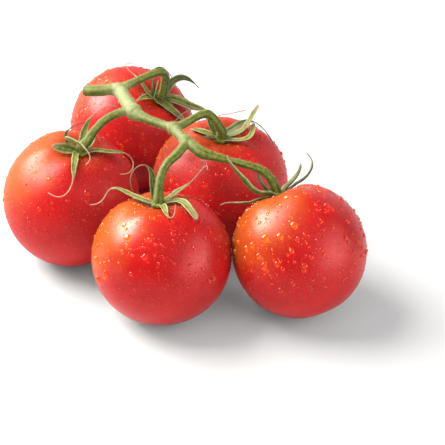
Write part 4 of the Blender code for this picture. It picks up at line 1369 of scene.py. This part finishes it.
# %% Spray the fruit
# The largest drops: the fruit, the direction from its middle, half the width and height in mm.
BIG_DROPS = (
    ("front", (-0.44, -0.52, 0.74), 1.9, 1.7), ("front", (-0.90, -0.36, 0.25), 1.4, 2.0),
    ("front", (-0.76, -0.62, 0.18), 1.5, 2.3), ("front", (-0.88, -0.48, 0.0), 1.3, 1.6),
    ("front", (-0.83, -0.50, 0.26), 1.1, 1.2), ("front", (-0.20, -0.78, 0.60), 1.1, 1.6),
    ("right", (-0.52, -0.56, 0.64), 1.8, 1.8), ("right", (-0.32, -0.62, 0.72), 1.6, 1.6),
    ("right", (-0.12, -0.52, 0.84), 1.7, 1.6), ("right", (-0.54, -0.78, 0.32), 1.4, 1.9),
    ("right", (-0.36, -0.84, 0.40), 1.2, 1.3), ("right", (0.02, -0.90, 0.42), 1.3, 1.2),
    ("right", (-0.62, -0.68, 0.42), 1.3, 1.5), ("right", (-0.30, -0.94, 0.02), 1.2, 1.2),
    ("right", (-0.16, -0.80, 0.60), 1.2, 1.2), ("right", (-0.70, -0.52, 0.50), 1.2, 1.4),
    ("left", (0.30, -0.74, 0.60), 1.3, 1.4), ("middle", (0.10, -0.70, 0.70), 1.2, 1.3),
    ("back", (-0.35, -0.10, 0.94), 1.3, 1.3), ("back", (-0.10, -0.30, 0.95), 1.2, 1.2),
)
Spray = namedtuple("Spray", "count smallest largest rarity dome sides rings clear lowest glow")
SPRAYS = {
    "mist": Spray(210e3, 0.18, 0.36, 1.8, 0.50, 6, 3, 0.5, -0.2, 0.35),
    "beads": Spray(38e3, 0.36, 0.84, 1.5, 0.62, 10, 6, 1.2, 0.05, 1.0),
    "drops": Spray(7.5e3, 0.75, 1.35, 1.7, 0.58, 18, 10, 2.2, 0.05, 1.0),
}
# How wet each fruit is: mist, beads and drops as shares of the usual.
WETNESS = {
    "front": (1.0, 1.4, 1.3),
    "left": (1.3, 0.8, 0.4),
    "right": (1.0, 2.0, 1.7),
    "back": (0.9, 2.0, 1.4),
    "middle": (1.0, 1.6, 0.9),
}
RAY_START = 0.1
DROP_THICK, DROP_LIFT = 0.85, 0.12 * MM
FULLER_BELOW = 0.22


def add_big_drop(body, skin_tree, middle, direction, half_width, half_height, pale_side):
    """Adds a hanging drop where a line from the fruit's middle leaves the skin, and marks it."""
    ray = Vector(direction).normalized()
    spot, normal, _, _ = skin_tree.ray_cast(middle + ray * RAY_START, -ray)
    upward = (Vector((0, 0, 1)) - normal * normal.z).normalized()
    drop_frame = Matrix((upward.cross(normal), upward, normal)).transposed()
    names = ("towards_light", "sparkle", "pale_side")
    light_mark, sparkle_mark, pale_mark = (body.verts.layers.float[name] for name in names)
    for vertex in bmesh.ops.create_uvsphere(body, u_segments=24, v_segments=14, radius=1)["verts"]:
        x, y, z = vertex.co
        full = 1 - FULLER_BELOW * y
        size = Vector((half_width * full, half_height, DROP_THICK * full))
        local = Vector((x * size.x, y * size.y, z * size.z)) * MM
        facing_way = drop_frame @ Vector((x, y, z * 1.4)).normalized()
        vertex.co = spot + normal * DROP_LIFT + drop_frame @ local
        vertex[light_mark] = facing_way.dot(LIGHT_FROM)
        vertex[sparkle_mark] = 1.0
        vertex[pale_mark] = normal.dot(pale_side)


body = bmesh.new()
for piece in greens:
    body.from_mesh(piece.data)
greens_guide = piece_from(body, "greens_guide", STEM)
for order, (name, skin_piece) in enumerate(fruit_pieces.items()):
    body = bmesh.new()
    for kind, (spray, share) in enumerate(zip(SPRAYS.values(), WETNESS[name])):
        water = grow(
            "water_layer",
            DEW,
            skin_piece.data,
            greens=greens_guide,
            clear_of_greens=spray.clear * MM,
            count_per_square_metre=spray.count * share,
            smallest=spray.smallest * MM,
            largest=spray.largest * MM,
            rarity=spray.rarity,
            dome=spray.dome,
            sides=spray.sides,
            rings=spray.rings,
            lowest=spray.lowest,
            glow=spray.glow,
            seed=1 + 10 * order + kind,
            water=WATER,
        )
        if kind == 0:
            water.name = water.data.name = "mist_" + name
            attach(water, "root")
            print("mist on", name, len(water.data.polygons), "faces")
            continue
        body.from_mesh(water.data)
        bpy.data.objects.remove(water)
    skin_tree = surface_tree(skin_piece)
    middle = Vector(np.mean([vertex.co for vertex in skin_piece.data.vertices], axis=0))
    for fruit, direction, half_width, half_height in BIG_DROPS:
        if fruit == name:
            pale_side = Vector(ORANGE_LIT_SIDES[name])
            add_big_drop(body, skin_tree, middle, direction, half_width, half_height, pale_side)
    piece = piece_from(body, "water_" + name, WATER)
    piece.visible_shadow = False
    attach(piece, "root")
    print("water on", name, len(piece.data.polygons), "faces")
bpy.data.objects.remove(greens_guide)
